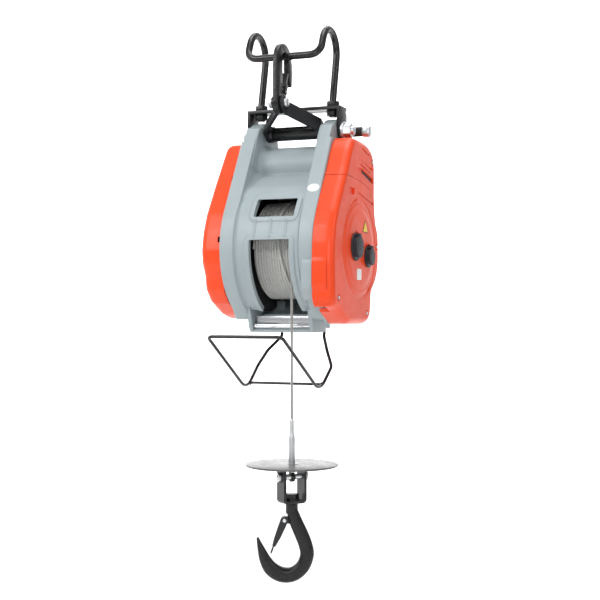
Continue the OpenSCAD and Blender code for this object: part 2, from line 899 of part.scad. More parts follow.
module rope_ferrule() {
  color(steel) translate([block_x, block_y, 0]) {
    difference() {
      union() {
        translate([0, 0, -330]) cylinder(h = 26.9, r = 4, $fn = fine);
        translate([0, 0, disc_top - 4]) cylinder(h = -330 - disc_top + 4.1, r = 6, $fn = fine);
        rotate([0, 0, clevis_turn]) translate([0, 0, clevis_bolt_z]) rotate([0, 90, 0])
          cylinder(h = 7, r = 9, center = true, $fn = fine);
        rotate([0, 0, clevis_turn]) translate([-3.5, -6, clevis_bolt_z]) cube([7, 12, 19.4]);
      }
      rotate([0, 0, clevis_turn]) translate([0, 0, clevis_bolt_z]) rotate([0, 90, 0])
        cylinder(h = 20, r = 5.1, center = true, $fn = fine);
    }
  }
}

module stop_disc() {
  color(black) translate([block_x, block_y, disc_top - disc_t]) difference() {
    cylinder(h = disc_t, d = disc_d, $fn = 128);
    translate([0, 0, -1]) cylinder(h = disc_t + 2, r = 6.05, $fn = fine);
    rotate([0, 0, -30]) translate([14, 0, -1]) cylinder(h = disc_t + 2, r = 3, $fn = fine);
  }
}

module clevis() {
  color(black) translate([block_x, block_y, clevis_top - clevis_h]) rotate([0, 0, clevis_turn]) difference() {
    translate([-clevis_w / 2, -14, 0]) cube([clevis_w, 28, clevis_h]);
    translate([-clevis_w / 2 + clevis_t, -20, clevis_t]) cube([clevis_w - 2 * clevis_t, 40, clevis_h]);
    translate([0, 0, -1]) cylinder(h = 10, r = 8.1, $fn = fine);
    translate([-40, 0, clevis_bolt_z - clevis_top + clevis_h]) rotate([0, 90, 0])
      cylinder(h = 80, r = 5.05, $fn = fine);
  }
}

module clevis_bolt() {
  color(steel) translate([block_x, block_y, clevis_bolt_z]) rotate([0, 0, clevis_turn]) {
    rod_x(-clevis_w / 2 - 8, clevis_w / 2 + 2, 5);
    hex_x(clevis_w / 2 + 0.1, clevis_w / 2 + 7, 16);
    nut_x(-clevis_w / 2 - 7, -clevis_w / 2 - 0.1, 16, 5.02);
  }
}

shank_top = clevis_top - clevis_h + clevis_t;

// Middle of the hook's bar from shank to tip, and its half widths in and across its plane
hook_line = [
  [0, -14], [3, -26], [9, -42], [17, -60], [24, -78], [27, -97], [19, -118], [2, -131], [-18, -132],
  [-36, -122], [-47, -106], [-54, -88], [-61, -66]
];
hook_sizes = [
  [9, 9], [11, 10], [12, 10], [12.5, 10], [12.5, 10], [12.5, 10.5], [12.5, 11], [13, 11], [13.5, 11],
  [13, 10.5], [10.5, 9.5], [7, 7.5], [2, 3]
];

module load_hook() {
  steps = 4;
  line = smooth([for (p = hook_line) [p[0], 0, p[1]]], steps);
  sizes = smooth(hook_sizes, steps);
  color(black) translate([block_x, block_y, shank_top]) rotate([0, 0, hook_turn]) difference() {
    union() {
      translate([0, 0, -22]) cylinder(h = 34, r = 8, $fn = fine);
      translate([0, 0, -24]) cylinder(h = 18.7, r = 11, $fn = fine);
      translate([0, 0, 0.3]) cylinder(h = 3, r = 13, $fn = fine);
      translate([0, 0, 3.3]) cylinder(h = 9, d = 22 / cos(30), $fn = 6);
      sweep(line, sizes, 16, [1, 0, 0]);
      translate([-12, 6, -35]) rotate([90, 0, 0]) cylinder(h = 12, r = 7, $fn = fine);
      translate([-12, -6, -42]) cube([14, 12, 14]);
    }
    translate([-13, 30, -35]) rotate([90, 0, 0]) cylinder(h = 60, r = 2.1, $fn = fine);
  }
}

module hook_latch() {
  color(black) translate([block_x, block_y, shank_top]) rotate([0, 0, hook_turn])
    translate([-13, 0, -35]) rotate([0, 22, 0]) union() {
      for (s = [-1, 1])
        translate([0, s * 7.7, 0]) rotate([90, 0, 0]) difference() {
          union() {
            cylinder(h = 2, r = 7, center = true, $fn = fine);
            translate([-6, -30, -1]) cube([12, 30, 2]);
          }
        }
      translate([-4, -8.7, -30]) cube([9, 17.4, 12]);
      translate([-3, -6, -64]) cube([6, 12, 36]);
      translate([0, 10, 0]) rotate([90, 0, 0]) cylinder(h = 20, r = 2, $fn = fine);
    }
}

on_drum() hanger_rod();
on_drum() hanger_nuts();
on_drum() hanger_bracket();
on_drum() carry_bolt();
on_drum() carry_nut();
on_drum() spacer_tube();
on_drum() yoke_arm_left();
on_drum() yoke_arm_right();
on_drum() yoke_bolt();
on_drum() safety_hook();
on_drum() safety_latch_pin();
on_drum() safety_latch();
on_drum() drum_frame();
on_drum() ear_bushes();
on_drum() tie_bolt();
on_drum() tie_sleeve();
on_drum() left_cover();
on_drum() right_cover_lower();
on_drum() right_cover_upper();
on_drum() cover_screws();
on_drum() vent_grille();
on_drum() labels();
on_drum() gear_plate();
on_drum() gear_plate_studs();
on_drum() motor_stator();
on_drum() rotor_bearings();
on_drum() motor_rotor();
on_drum() rotor_shaft();
on_drum() motor_pinion();
on_drum() cooling_fan();
on_drum() brake_coil();
on_drum() brake_armature();
on_drum() drum();
on_drum() drum_shaft();
on_drum() drum_bearings();
on_drum() rope_winding();
on_drum() rope_clamp();
on_drum() drum_gear();
on_drum() idler_gear();
on_drum() idler_shaft();
on_drum() control_board();
on_drum() board_parts();
on_drum() radio_receiver();
on_drum() power_socket();
on_drum() control_socket();
on_drum() power_cap();
on_drum() control_cap();
on_drum() outlet_guide();
on_drum() outlet_roller();
on_drum() outlet_pin();
on_drum() limit_frame();
on_drum() limit_pins();
on_drum() limit_switch();
on_drum() hoist_rope();
on_drum() rope_ferrule();
on_drum() stop_disc();
on_drum() clevis();
on_drum() clevis_bolt();
on_drum() load_hook();
on_drum() hook_latch();
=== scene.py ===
"""Looks of the electric wire rope hoist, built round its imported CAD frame.

Shapes are drawn in millimetres from the drum's axis (x along it, y to the back, z up) and at() puts
them in the row frame. The CAD's smaller parts are kept as bevelled copies, and the castings, covers,
ropes and forged bars are new meshes.
"""
import json
import math

import bmesh
import bpy
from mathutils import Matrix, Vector


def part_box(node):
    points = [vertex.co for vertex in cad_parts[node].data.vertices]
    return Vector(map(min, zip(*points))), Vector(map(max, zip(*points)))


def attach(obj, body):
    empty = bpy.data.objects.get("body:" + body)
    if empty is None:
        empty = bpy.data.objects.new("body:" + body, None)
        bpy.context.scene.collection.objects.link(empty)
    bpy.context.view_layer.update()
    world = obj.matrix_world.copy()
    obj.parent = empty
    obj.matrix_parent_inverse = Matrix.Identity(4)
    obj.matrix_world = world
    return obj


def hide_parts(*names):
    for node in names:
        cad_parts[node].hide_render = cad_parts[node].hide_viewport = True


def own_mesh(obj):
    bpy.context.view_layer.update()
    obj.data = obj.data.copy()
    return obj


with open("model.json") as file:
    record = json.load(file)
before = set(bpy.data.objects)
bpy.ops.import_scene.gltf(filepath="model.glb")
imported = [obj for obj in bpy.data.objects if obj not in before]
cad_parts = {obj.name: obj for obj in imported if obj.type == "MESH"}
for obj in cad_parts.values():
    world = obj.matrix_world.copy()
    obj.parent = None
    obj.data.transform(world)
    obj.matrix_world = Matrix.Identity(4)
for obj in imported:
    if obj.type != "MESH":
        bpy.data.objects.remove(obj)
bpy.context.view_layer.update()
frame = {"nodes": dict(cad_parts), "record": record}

MM = 0.001
SHAFT_LOW, SHAFT_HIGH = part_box("drum_shaft")
DRUM_Y = (SHAFT_LOW.y + SHAFT_HIGH.y) / 2
DRUM_Z = (SHAFT_LOW.z + SHAFT_HIGH.z) / 2


def at(x, y, z):
    """A point in mm from the drum's axis, as metres in the row frame."""
    return Vector((x * MM, DRUM_Y + y * MM, DRUM_Z + z * MM))


# ---------- camera ----------

VIEW_TURN = math.radians(22)
VIEW_DISTANCE = 2.242
VIEW_HEIGHT = -0.481


def make_camera():
    """The camera stands level, to the right of the front."""
    data = bpy.data.cameras.new("camera")
    data.sensor_width = 36
    data.lens = 72.7
    data.shift_x = 0.0167
    data.shift_y = 0.0133
    camera = bpy.data.objects.new("camera", data)
    back = Vector((math.sin(VIEW_TURN), -math.cos(VIEW_TURN), 0))
    camera.location = Vector((0, -0.016, VIEW_HEIGHT)) + back * VIEW_DISTANCE
    camera.rotation_euler = (math.radians(90), 0, VIEW_TURN)
    bpy.context.scene.collection.objects.link(camera)
    bpy.context.scene.camera = camera


make_camera()

# ---------- materials ----------


# Places of a colour mix node's sockets, because several share one name
COLOUR_A, COLOUR_B, COLOUR_OUT = 6, 7, 2


class Nodes:
    """A small helper that wires shader nodes."""

    def __init__(self, name):
        self.material = bpy.data.materials.new(name)
        self.material.use_nodes = True
        self.tree = self.material.node_tree
        self.shader = self.tree.nodes["Principled BSDF"]
        self.place = self.tree.nodes.new("ShaderNodeTexCoord").outputs["Object"]

    def link(self, a, b):
        self.tree.links.new(a, b)

    def noise(self, scale, detail=4, rough=0.5, stretch=(1, 1, 1)):
        mapping = self.tree.nodes.new("ShaderNodeMapping")
        mapping.inputs["Scale"].default_value = stretch
        self.link(self.place, mapping.inputs["Vector"])
        node = self.tree.nodes.new("ShaderNodeTexNoise")
        node.inputs["Scale"].default_value = scale
        node.inputs["Detail"].default_value = detail
        node.inputs["Roughness"].default_value = rough
        self.link(mapping.outputs["Vector"], node.inputs["Vector"])
        return node.outputs["Fac"]

    def ramp(self, value, stops):
        """Maps value through (position, colour) stops; a colour may be one number."""
        node = self.tree.nodes.new("ShaderNodeValToRGB")
        band = node.color_ramp
        while len(band.elements) < len(stops):
            band.elements.new(0.5)
        for element, (where, colour) in zip(band.elements, stops):
            element.position = where
            rgb = colour if hasattr(colour, "__len__") else (colour,) * 3
            element.color = (*rgb, 1)
        self.link(value, node.inputs["Fac"])
        return node.outputs["Color"]

    def mix(self, share, a, b):
        """Colour a, or b where share is 1."""
        node = self.tree.nodes.new("ShaderNodeMix")
        node.data_type = "RGBA"
        for key, value in (("Factor", share), (COLOUR_A, a), (COLOUR_B, b)):
            socket = node.inputs[key]
            if hasattr(value, "links"):
                self.link(value, socket)
            elif hasattr(value, "__len__"):
                socket.default_value = (*value, 1)
            else:
                socket.default_value = value
        return node.outputs[COLOUR_OUT]

    def bump(self, height, strength, distance, under=None):
        node = self.tree.nodes.new("ShaderNodeBump")
        node.inputs["Strength"].default_value = strength
        node.inputs["Distance"].default_value = distance
        self.link(height, node.inputs["Height"])
        if under is not None:
            self.link(under, node.inputs["Normal"])
        return node.outputs["Normal"]

    def finish(self, colour, rough, normal=None, **constants):
        self.link(colour, self.shader.inputs["Base Color"])
        self.link(rough, self.shader.inputs["Roughness"])
        if normal is not None:
            self.link(normal, self.shader.inputs["Normal"])
        for name, value in constants.items():
            self.shader.inputs[name.replace("_", " ")].default_value = value
        return self.material


def shade(colour, k):
    return tuple(min(1, c * k) for c in colour)


def painted(name, colour, rough=0.42, grain=900, relief=0.25, patchy=0.08):
    """Paint on metal: slight cloudiness, orange peel, and uneven gloss."""
    n = Nodes(name)
    cloud = n.noise(9, 5)
    fine = n.noise(grain, 2)
    tint = n.ramp(cloud, [(0.3, shade(colour, 1 - patchy)), (0.7, shade(colour, 1 + patchy))])
    tint = n.mix(n.ramp(n.noise(160, 6, 0.7), [(0.66, 0.0), (0.78, 0.35)]), tint, shade(colour, 0.72))
    gloss = n.ramp(n.noise(38, 6, 0.6), [(0.3, rough - 0.07), (0.75, rough + 0.09)])
    normal = n.bump(fine, relief, 0.0003, n.bump(n.noise(120, 3), relief * 0.6, 0.0006))
    return n.finish(tint, gloss, normal)


def moulded(name, colour, rough=0.3, coat=0.35):
    """Glossy moulded plastic: deep even colour, faint flow marks and handling haze."""
    n = Nodes(name)
    flow = n.noise(7, 3, 0.45, (1, 1, 0.4))
    tint = n.ramp(flow, [(0.35, shade(colour, 0.93)), (0.65, shade(colour, 1.05))])
    gloss = n.ramp(n.noise(55, 7, 0.65), [(0.3, rough - 0.05), (0.72, rough + 0.1)])
    normal = n.bump(n.noise(24, 2), 0.12, 0.0012, n.bump(n.noise(1500, 2), 0.05, 0.0002))
    return n.finish(
        tint, gloss, normal, Coat_Weight=coat, Coat_Roughness=0.12, Specular_IOR_Level=0.34
    )


def metal(name, colour, rough=0.3, brush=(1, 14, 14), metallic=1.0, spots=0.2):
    """Plated or turned metal: fine tool marks, stained patches and uneven gloss."""
    n = Nodes(name)
    lines = n.noise(240, 3, 0.6, brush)
    stain = n.ramp(n.noise(70, 6, 0.7), [(0.45, 0.0), (0.8, spots)])
    tint = n.mix(stain, colour, shade(colour, 0.45))
    gloss = n.ramp(lines, [(0.3, rough - 0.08), (0.7, rough + 0.14)])
    return n.finish(tint, gloss, n.bump(lines, 0.12, 0.0003), Metallic=metallic)


def forged(name, colour, rough=0.45):
    """Black paint over a forging: pitted skin, rubbed lighter patches."""
    n = Nodes(name)
    rub = n.ramp(n.noise(60, 8, 0.75), [(0.55, 0.0), (0.75, 0.5)])
    tint = n.mix(rub, colour, shade(colour, 2.1))
    gloss = n.ramp(n.noise(90, 5), [(0.3, rough - 0.12), (0.7, rough + 0.1)])
    normal = n.bump(n.noise(420, 5, 0.6), 0.35, 0.0007)
    return n.finish(tint, gloss, normal, Specular_IOR_Level=0.42)


def rubbery(name, colour, rough=0.55):
    """Dark moulded plastic or rubber with a fine spark-eroded grain."""
    n = Nodes(name)
    tint = n.ramp(n.noise(40, 5), [(0.3, shade(colour, 0.8)), (0.7, shade(colour, 1.25))])
    gloss = n.ramp(n.noise(300, 3), [(0.3, rough - 0.1), (0.7, rough + 0.1)])
    return n.finish(tint, gloss, n.bump(n.noise(1100, 3, 0.7), 0.3, 0.0004))


def wire(name, colour, rough=0.36):
    """Galvanised rope: bright crowns, and dark valleys between the wires along the strand that are painted
    shade as well as grease; darker greasy patches.
    """
    n = Nodes(name)
    wires = n.noise(700, 2, 0.5, (1, 1, 2.4))
    grease = n.ramp(n.noise(60, 6, 0.7), [(0.4, 0.0), (0.75, 0.45)])
    # Painted shade: the valleys between the wires are darkened where the bump is low
    tint = n.mix(n.ramp(wires, [(0.35, 0.55), (0.6, 0.0)]), colour, shade(colour, 0.35))
    tint = n.mix(grease, tint, shade(colour, 0.5))
    gloss = n.ramp(wires, [(0.3, rough + 0.2), (0.7, rough)])
    return n.finish(tint, gloss, n.bump(wires, 0.4, 0.0005), Metallic=0.75)


def laid_wire(name, colour):
    """The same rope where it is wound: the strands' lay runs in slanting bands by the UV map."""
    n = Nodes(name)
    uv = n.tree.nodes.new("ShaderNodeUVMap").outputs["UV"]
    wave = n.tree.nodes.new("ShaderNodeTexWave")
    wave.wave_type = "BANDS"
    wave.bands_direction = "DIAGONAL"
    wave.inputs["Scale"].default_value = 1.0
    wave.inputs["Distortion"].default_value = 0.6
    n.link(uv, wave.inputs["Vector"])
    lay = wave.outputs["Fac"]
    dirt = n.ramp(n.noise(90, 6, 0.7), [(0.4, 0.0), (0.8, 0.45)])
    # Painted shade: the grooves between the strands are darkened along the lay bands
    tint = n.mix(n.ramp(lay, [(0.2, 0.75), (0.6, 0.0)]), colour, shade(colour, 0.3))
    tint = n.mix(dirt, tint, shade(colour, 0.55))
    gloss = n.ramp(lay, [(0.2, 0.6), (0.7, 0.36)])
    return n.finish(tint, gloss, n.bump(lay, 0.8, 0.0006), Metallic=0.2)


def coiled(name, colour):
    """Enamelled winding: fine turns across the coil, with painted shade darkening the gaps between them."""
    n = Nodes(name)
    turns = n.noise(900, 1, 0.4, (8, 0.3, 0.3))
    # Painted shade: darker between the turns
    tint = n.ramp(turns, [(0.35, shade(colour, 0.5)), (0.65, colour)])
    return n.finish(tint, n.ramp(turns, [(0.3, 0.5), (0.7, 0.3)]), n.bump(turns, 0.5, 0.0005), Metallic=0.6)


CASTING = painted("casting_paint", (0.33, 0.385, 0.4), 0.44, 700, 0.3, 0.05)
ORANGE = moulded("orange_plastic", (0.84, 0.062, 0.008), 0.36, 0.08)
BLACK = painted("black_paint", (0.009, 0.009, 0.01), 0.36, 900, 0.3, 0.2)
FORGED = forged("forged_black", (0.006, 0.006, 0.0065), 0.34)
ROD = painted("black_bar", (0.007, 0.007, 0.0075), 0.26, 1200, 0.15, 0.2)
# Dark grey, lighter than the black paint: partly the disc's own colour, partly a painted sheen for the
# reflection on its glossy top
DISC = painted("disc_paint", (0.1, 0.098, 0.1), 0.3, 900, 0.15, 0.12)
ZINC = metal("zinc_plate", (0.72, 0.73, 0.74), 0.28, (6, 6, 6))
STEEL = metal("turned_steel", (0.55, 0.56, 0.57), 0.3)
# Near black for the drum: partly its dark iron, partly painted shade for the deep shadow inside the frame
IRON_AND_SHADE = metal("dark_iron_and_shade", (0.05, 0.05, 0.052), 0.5, (3, 3, 3), 0.6)
CHROME = metal("chrome_bar", (0.8, 0.81, 0.82), 0.14, (1, 20, 20), 1.0, 0.08)
ALUMINIUM = metal("cast_aluminium", (0.5, 0.51, 0.52), 0.42, (3, 3, 3), 0.9)
LAMINATION = metal("laminations", (0.2, 0.2, 0.21), 0.5, (60, 1, 1))
BRASS = metal("brass", (0.7, 0.48, 0.2), 0.3, (3, 3, 3))
COPPER = coiled("copper_coil", (0.6, 0.27, 0.1))
PLASTIC = rubbery("dark_plastic", (0.022, 0.024, 0.03))
RUBBER = rubbery("black_rubber", (0.014, 0.014, 0.014), 0.7)
BOARD = painted("circuit_board", (0.02, 0.16, 0.06), 0.35, 500, 0.2, 0.1)
LABEL = painted("white_label", (0.8, 0.8, 0.78), 0.35, 300, 0.05, 0.02)
YELLOW = painted("yellow_label", (0.85, 0.6, 0.02), 0.35, 300, 0.05, 0.03)
ROPE = wire("rope_steel", (0.52, 0.52, 0.5))
# A much lighter copy of the hanging rope's colour: painted light, so the winding reads bright inside the
# frame's windows
LIT_WOUND_ROPE = laid_wire("wound_rope_steel_lit", (0.86, 0.86, 0.82))
ALLOY = metal("pressed_alloy", (0.66, 0.67, 0.67), 0.34, (4, 4, 4), 0.9)

# ---------- mesh helpers ----------


def mesh_object(name, points, faces):
    """An object from points in mm about the drum's axis."""
    mesh = bpy.data.meshes.new(name)
    mesh.from_pydata([at(*p) for p in points], [], faces)
    obj = bpy.data.objects.new(name, mesh)
    bpy.context.scene.collection.objects.link(obj)
    return obj


def dress(obj, angle=34):
    """Welds, turns faces outward and shades smooth except across edges sharper than angle."""
    mesh = bmesh.new()
    mesh.from_mesh(obj.data)
    bmesh.ops.remove_doubles(mesh, verts=mesh.verts, dist=1.2e-5)
    bmesh.ops.dissolve_degenerate(mesh, edges=mesh.edges, dist=1e-6)
    bmesh.ops.recalc_face_normals(mesh, faces=mesh.faces)
    limit = math.radians(angle)
    for face in mesh.faces:
        face.smooth = True
    for edge in mesh.edges:
        edge.smooth = len(edge.link_faces) == 2 and edge.calc_face_angle(0) < limit
    mesh.to_mesh(obj.data)
    mesh.free()
    return obj


def settle(obj, body, material, replaced=(), angle=34):
    """Finishes a piece: shading, material, body and the CAD nodes that it stands for."""
    dress(obj, angle)
    obj.data.materials.clear()
    obj.data.materials.append(material)
    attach(obj, body)
    if replaced:
        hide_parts(*replaced)
    return obj


def combined(obj, other, operation):
    """obj with other cut from it, joined to it, or kept where both are."""
    modifier = obj.modifiers.new("solid", "BOOLEAN")
    modifier.operation = operation
    modifier.solver = "MANIFOLD"
    modifier.object = other
    graph = bpy.context.evaluated_depsgraph_get()
    made = bpy.data.meshes.new_from_object(obj.evaluated_get(graph))
    obj.modifiers.clear()
    obj.data = made
    bpy.data.objects.remove(other)
    return obj


def outward(obj):
    mesh = bmesh.new()
    mesh.from_mesh(obj.data)
    bmesh.ops.remove_doubles(mesh, verts=mesh.verts, dist=1e-7)
    bmesh.ops.recalc_face_normals(mesh, faces=mesh.faces)
    mesh.to_mesh(obj.data)
    mesh.free()
    return obj


def loft(name, rings, closed=False):
    """A solid through rings of points; the ends are capped unless the rings close on themselves."""
    count = len(rings[0])
    points = [p for ring in rings for p in ring]
    faces = []
    spans = len(rings) if closed else len(rings) - 1
    for i in range(spans):
        a, b = i * count, (i + 1) % len(rings) * count
        for k in range(count):
            m = (k + 1) % count
            faces.append((a + k, a + m, b + m, b + k))
    if not closed:
        last = (len(rings) - 1) * count
        faces.append(tuple(range(count - 1, -1, -1)))
        faces.append(tuple(last + k for k in range(count)))
    return outward(mesh_object(name, points, faces))


def circle(y, z, r, count=64):
    turns = [2 * math.pi * k / count for k in range(count)]
    return [(y + r * math.cos(t), z + r * math.sin(t)) for t in turns]


def slab(name, outline, x0, x1, round_by=0.0, steps=4):
    """An outline in y and z extruded along x, with its two rims rounded."""
    if round_by:
        turns = [math.pi / 2 * k / steps for k in range(steps + 1)]
        rings = [(x0 + round_by * (1 - math.cos(t)), round_by * (1 - math.sin(t))) for t in turns]
        rings += [(x0 + x1 - x, d) for x, d in reversed(rings)]
    else:
        rings = [(x0, 0), (x1, 0)]
    drawn = [[(x, *p) for p in inset(outline, d)] for x, d in rings]
    return loft(name, drawn)


def spun(name, profile, y, z, count=64):
    """A solid turned about an axis along x: profile is (x, radius) from end to end."""
    rings = [[(x, *p) for p in circle(y, z, max(r, 0.01), count)] for x, r in profile]
    return loft(name, rings)


def rounded_profile(x0, x1, r, fillet, steps=4):
    """(x, radius) stops of a cylinder whose two rims are rounded."""
    turns = [math.pi / 2 * k / steps for k in range(steps + 1)]
    ends = [(fillet * (1 - math.cos(t)), r - fillet + fillet * math.sin(t)) for t in turns]
    return [(x0 + a, b) for a, b in ends] + [(x1 - a, b) for a, b in reversed(ends)]


def box_solid(name, low, high):
    (x0, y0, z0), (x1, y1, z1) = low, high
    return slab(name, [(y0, z0), (y1, z0), (y1, z1), (y0, z1)], x0, x1)


def resampled(outline, step):
    """Evenly spaced points along a closed outline."""
    ends = list(zip(outline, outline[1:] + outline[:1]))
    total = sum(math.dist(a, b) for a, b in ends)
    count = round(total / step)
    found, walked, index = [], 0.0, 0
    for k in range(count):
        goal = total * k / count
        while walked + math.dist(*ends[index]) < goal:
            walked += math.dist(*ends[index])
            index += 1
        a, b = ends[index]
        share = (goal - walked) / math.dist(a, b)
        found.append((a[0] + (b[0] - a[0]) * share, a[1] + (b[1] - a[1]) * share))
    return found


def softened(outline, passes):
    """The outline with each point drawn towards its neighbours."""
    for _ in range(passes):
        before, after = outline[-1:] + outline[:-1], outline[1:] + outline[:1]
        outline = [
            tuple((a[i] + 2 * b[i] + c[i]) / 4 for i in (0, 1)) for a, b, c in zip(before, outline, after)
        ]
    return outline


def area(outline):
    return sum(a[0] * b[1] - b[0] * a[1] for a, b in zip(outline, outline[1:] + outline[:1])) / 2


def inset(outline, distance):
    """The outline moved inward by a small distance."""
    if not distance:
        return list(outline)
    side = 1 if area(outline) > 0 else -1
    moved = []
    for k, p in enumerate(outline):
        a, b = outline[k - 1], outline[(k + 1) % len(outline)]
        t = Vector((b[0] - a[0], b[1] - a[1])).normalized()
        moved.append((p[0] - side * t.y * distance, p[1] + side * t.x * distance))
    return moved


def arc(y, z, r, a0, a1, count):
    return [
        (y + r * math.cos(math.radians(a0 + (a1 - a0) * k / count)),
         z + r * math.sin(math.radians(a0 + (a1 - a0) * k / count)))
        for k in range(count + 1)
    ]


def step_up(low, high, value):
    """0 below low, 1 above high, smooth between."""
    t = min(1, max(0, (value - low) / (high - low)))
    return t * t * (3 - 2 * t)


def swept(name, path, radii, sides, flat=None):
    """A bar along path with round or oval sections. radii is one number or (a, b) for each point."""
    points = [Vector(p) for p in path]
    last = len(points) - 1
    tangents = [(points[min(i + 1, last)] - points[max(i - 1, 0)]).normalized() for i in range(last + 1)]
    normal = Vector(flat) if flat else Vector((0.31, 0.22, 0.93))
    rings = []
    for i, (p, t) in enumerate(zip(points, tangents)):
        normal = (normal - t * normal.dot(t)).normalized()
        across = t.cross(normal)
        a, b = radii[i] if hasattr(radii, "__len__") else (radii, radii)
        turns = [2 * math.pi * k / sides for k in range(sides)]
        rings.append([tuple(p + normal * (a * math.cos(t)) + across * (b * math.sin(t))) for t in turns])
    return loft(name, rings)


def corner(a, b, c, r, count):
    """Points of the arc of radius r that rounds the corner at b."""
    a, b, c = Vector(a), Vector(b), Vector(c)
    u, w = (a - b).normalized(), (c - b).normalized()
    half = u.angle(w) / 2
    centre = b + (u + w).normalized() * (r / math.sin(half))
    reach = r / math.tan(half)
    start, end = b + u * reach - centre, b + w * reach - centre
    turn = math.pi - 2 * half
    return [
        centre
        + (start * math.sin(turn * (1 - k / count)) + end * math.sin(turn * k / count)) / math.sin(turn)
        for k in range(count + 1)
    ]


def rounded_path(points, radii, count=8):
    path = [Vector(points[0])]
    for a, b, c, r in zip(points, points[1:], points[2:], radii):
        path += corner(a, b, c, r, count)
    return path + [Vector(points[-1])]


def mirrored(path):
    return [Vector((-p[0], p[1], p[2])) for p in reversed(path)]


def spaced(path, step):
    """Evenly spaced points along an open path."""
    points = [Vector(p) for p in path]
    lengths = [(b - a).length for a, b in zip(points, points[1:])]
    count = max(2, round(sum(lengths) / step))
    found, walked, index = [], 0.0, 0
    for k in range(count):
        goal = sum(lengths) * k / count
        while walked + lengths[index] < goal:
            walked += lengths[index]
            index += 1
        found.append(points[index].lerp(points[index + 1], (goal - walked) / lengths[index]))
    return found + [points[-1]]


def curve_through(points, steps):
    """A smooth curve through points of any dimension."""
    found = []
    for i in range(len(points) - 1):
        a, b = points[max(i - 1, 0)], points[i]
        c, d = points[i + 1], points[min(i + 2, len(points) - 1)]
        for k in range(steps):
            t = k / steps
            found.append(tuple(
                0.5 * (2 * q + (r - p) * t
                       + (2 * p - 5 * q + 4 * r - s) * t * t + (3 * q - p - 3 * r + s) * t ** 3)
                for p, q, r, s in zip(a, b, c, d)
            ))
    return found + [tuple(points[-1])]


def joined(name, objects):
    """Several meshes as one object."""
    mesh = bmesh.new()
    for obj in objects:
        mesh.from_mesh(obj.data)
        bpy.data.objects.remove(obj)
    data = bpy.data.meshes.new(name)
    mesh.to_mesh(data)
    mesh.free()
    made = bpy.data.objects.new(name, data)
    bpy.context.scene.collection.objects.link(made)
    return made


def bevelled(node, width, body, material, segments=2, angle=28):
    """A copy of a CAD node with its edges rounded, which stands for the node."""
    mesh = bmesh.new()
    mesh.from_mesh(frame["nodes"][node].data)
    bmesh.ops.remove_doubles(mesh, verts=mesh.verts, dist=1e-6)
    bmesh.ops.dissolve_limit(
        mesh, angle_limit=math.radians(0.6), verts=mesh.verts, edges=mesh.edges
    )
    limit = math.radians(angle)
    edges = [e for e in mesh.edges if len(e.link_faces) == 2 and e.calc_face_angle(0) > limit]
    bmesh.ops.bevel(
        mesh, geom=edges, offset=width * MM, offset_type="OFFSET", segments=segments,
        profile=0.5, affect="EDGES", clamp_overlap=True,
    )
    data = bpy.data.meshes.new(node + "_body")
    mesh.to_mesh(data)
    mesh.free()
    obj = bpy.data.objects.new(node + "_body", data)
    bpy.context.scene.collection.objects.link(obj)
    return settle(obj, body, material, [node], 40)


# ---------- the rope, made first ----------

ROPE_D = 5.0
ROPE_X, ROPE_Y = 36.0, -92.5
FREE_ROPE = 303.0
LAY = 32.0
STRANDS = 6


CLEVIS_TURN, HOOK_TURN = 50, 22
CLEVIS_HIGH, CLEVIS_T = 66, 5.0
BLOCK_TOP = -386.6
BOLT_DOWN = -19.4
SHANK_TOP = BLOCK_TOP - CLEVIS_HIGH + CLEVIS_T


def turned(points, angle, z):
    """Points drawn about the rope's axis, turned about it and moved to height z."""
    c, s = math.cos(math.radians(angle)), math.sin(math.radians(angle))
    return [(ROPE_X + x * c - y * s, ROPE_Y + x * s + y * c, z + h) for x, y, h in points]


def around_rope(name, profile, z, count=48):
    """A solid turned about the rope's axis: profile is (height, radius) from z."""
    rings = [[(*p, z + h) for p in circle(ROPE_X, ROPE_Y, r, count)] for h, r in profile]
    return loft(name, rings)


def strand_path(phase, radius, length, steps_per_turn=22):
    count = round(length / LAY * steps_per_turn)
    return [
        (ROPE_X + radius * math.cos(phase + 2 * math.pi * length * k / count / LAY),
         ROPE_Y + radius * math.sin(phase + 2 * math.pi * length * k / count / LAY),
         -length * k / count)
        for k in range(count + 1)
    ]


def hanging_rope(fitting):
    """Six strands laid round a core, from the drum down to the ferrule."""
    strand_r = 0.86
    helix_r = ROPE_D / 2 - strand_r
    strands = [swept("core", [(ROPE_X, ROPE_Y, -FREE_ROPE * k / 60) for k in range(61)], 1.0, 8)]
    for k in range(STRANDS):
        path = strand_path(2 * math.pi * k / STRANDS, helix_r, FREE_ROPE)
        strands.append(swept("strand", path, strand_r, 7))
    rope = settle(joined("hanging_rope", strands), "hoist", ROPE, ["hoist_rope"], 60)
    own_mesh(rope)


def ferrule():
    """Pressed rope end: a tapered sleeve, a fatter swaged body, and the eye that the bolt passes."""
    body = around_rope("swaged_ferrule", [
        (-11, 5.9), (-10, 5.95), (0, 6), (46, 6), (50, 5.9), (54, 5.2), (57, 4.2),
        (60, 4), (80, 3.9), (82, 3.5), (83.9, 2.7)], -387)
    settle(body, "hook_block", ALLOY, ["rope_ferrule"], 40)
    eye = loft("eye", [
        turned([(x, *p) for p in circle(0, BOLT_DOWN, r, 40)], CLEVIS_TURN, BLOCK_TOP)
        for x, r in ((-3.5, 8.2), (-2.7, 9), (2.7, 9), (3.5, 8.2))])
    settle(eye, "hook_block", FORGED, [], 40)
    eye.name = "ferrule_eye"
    return body


hanging_rope(ferrule())

WRAP_R = 87.2
WRAP_PITCH = 5.25
WRAP_START, WRAP_END = -39.5, 47.2


def drum_angle_point(x, radius, angle):
    """A point on the drum: angle 0 is the front, and it grows upward and over to the back."""
    turn = math.radians(180 - angle)
    return (x, radius * math.cos(turn), radius * math.sin(turn))


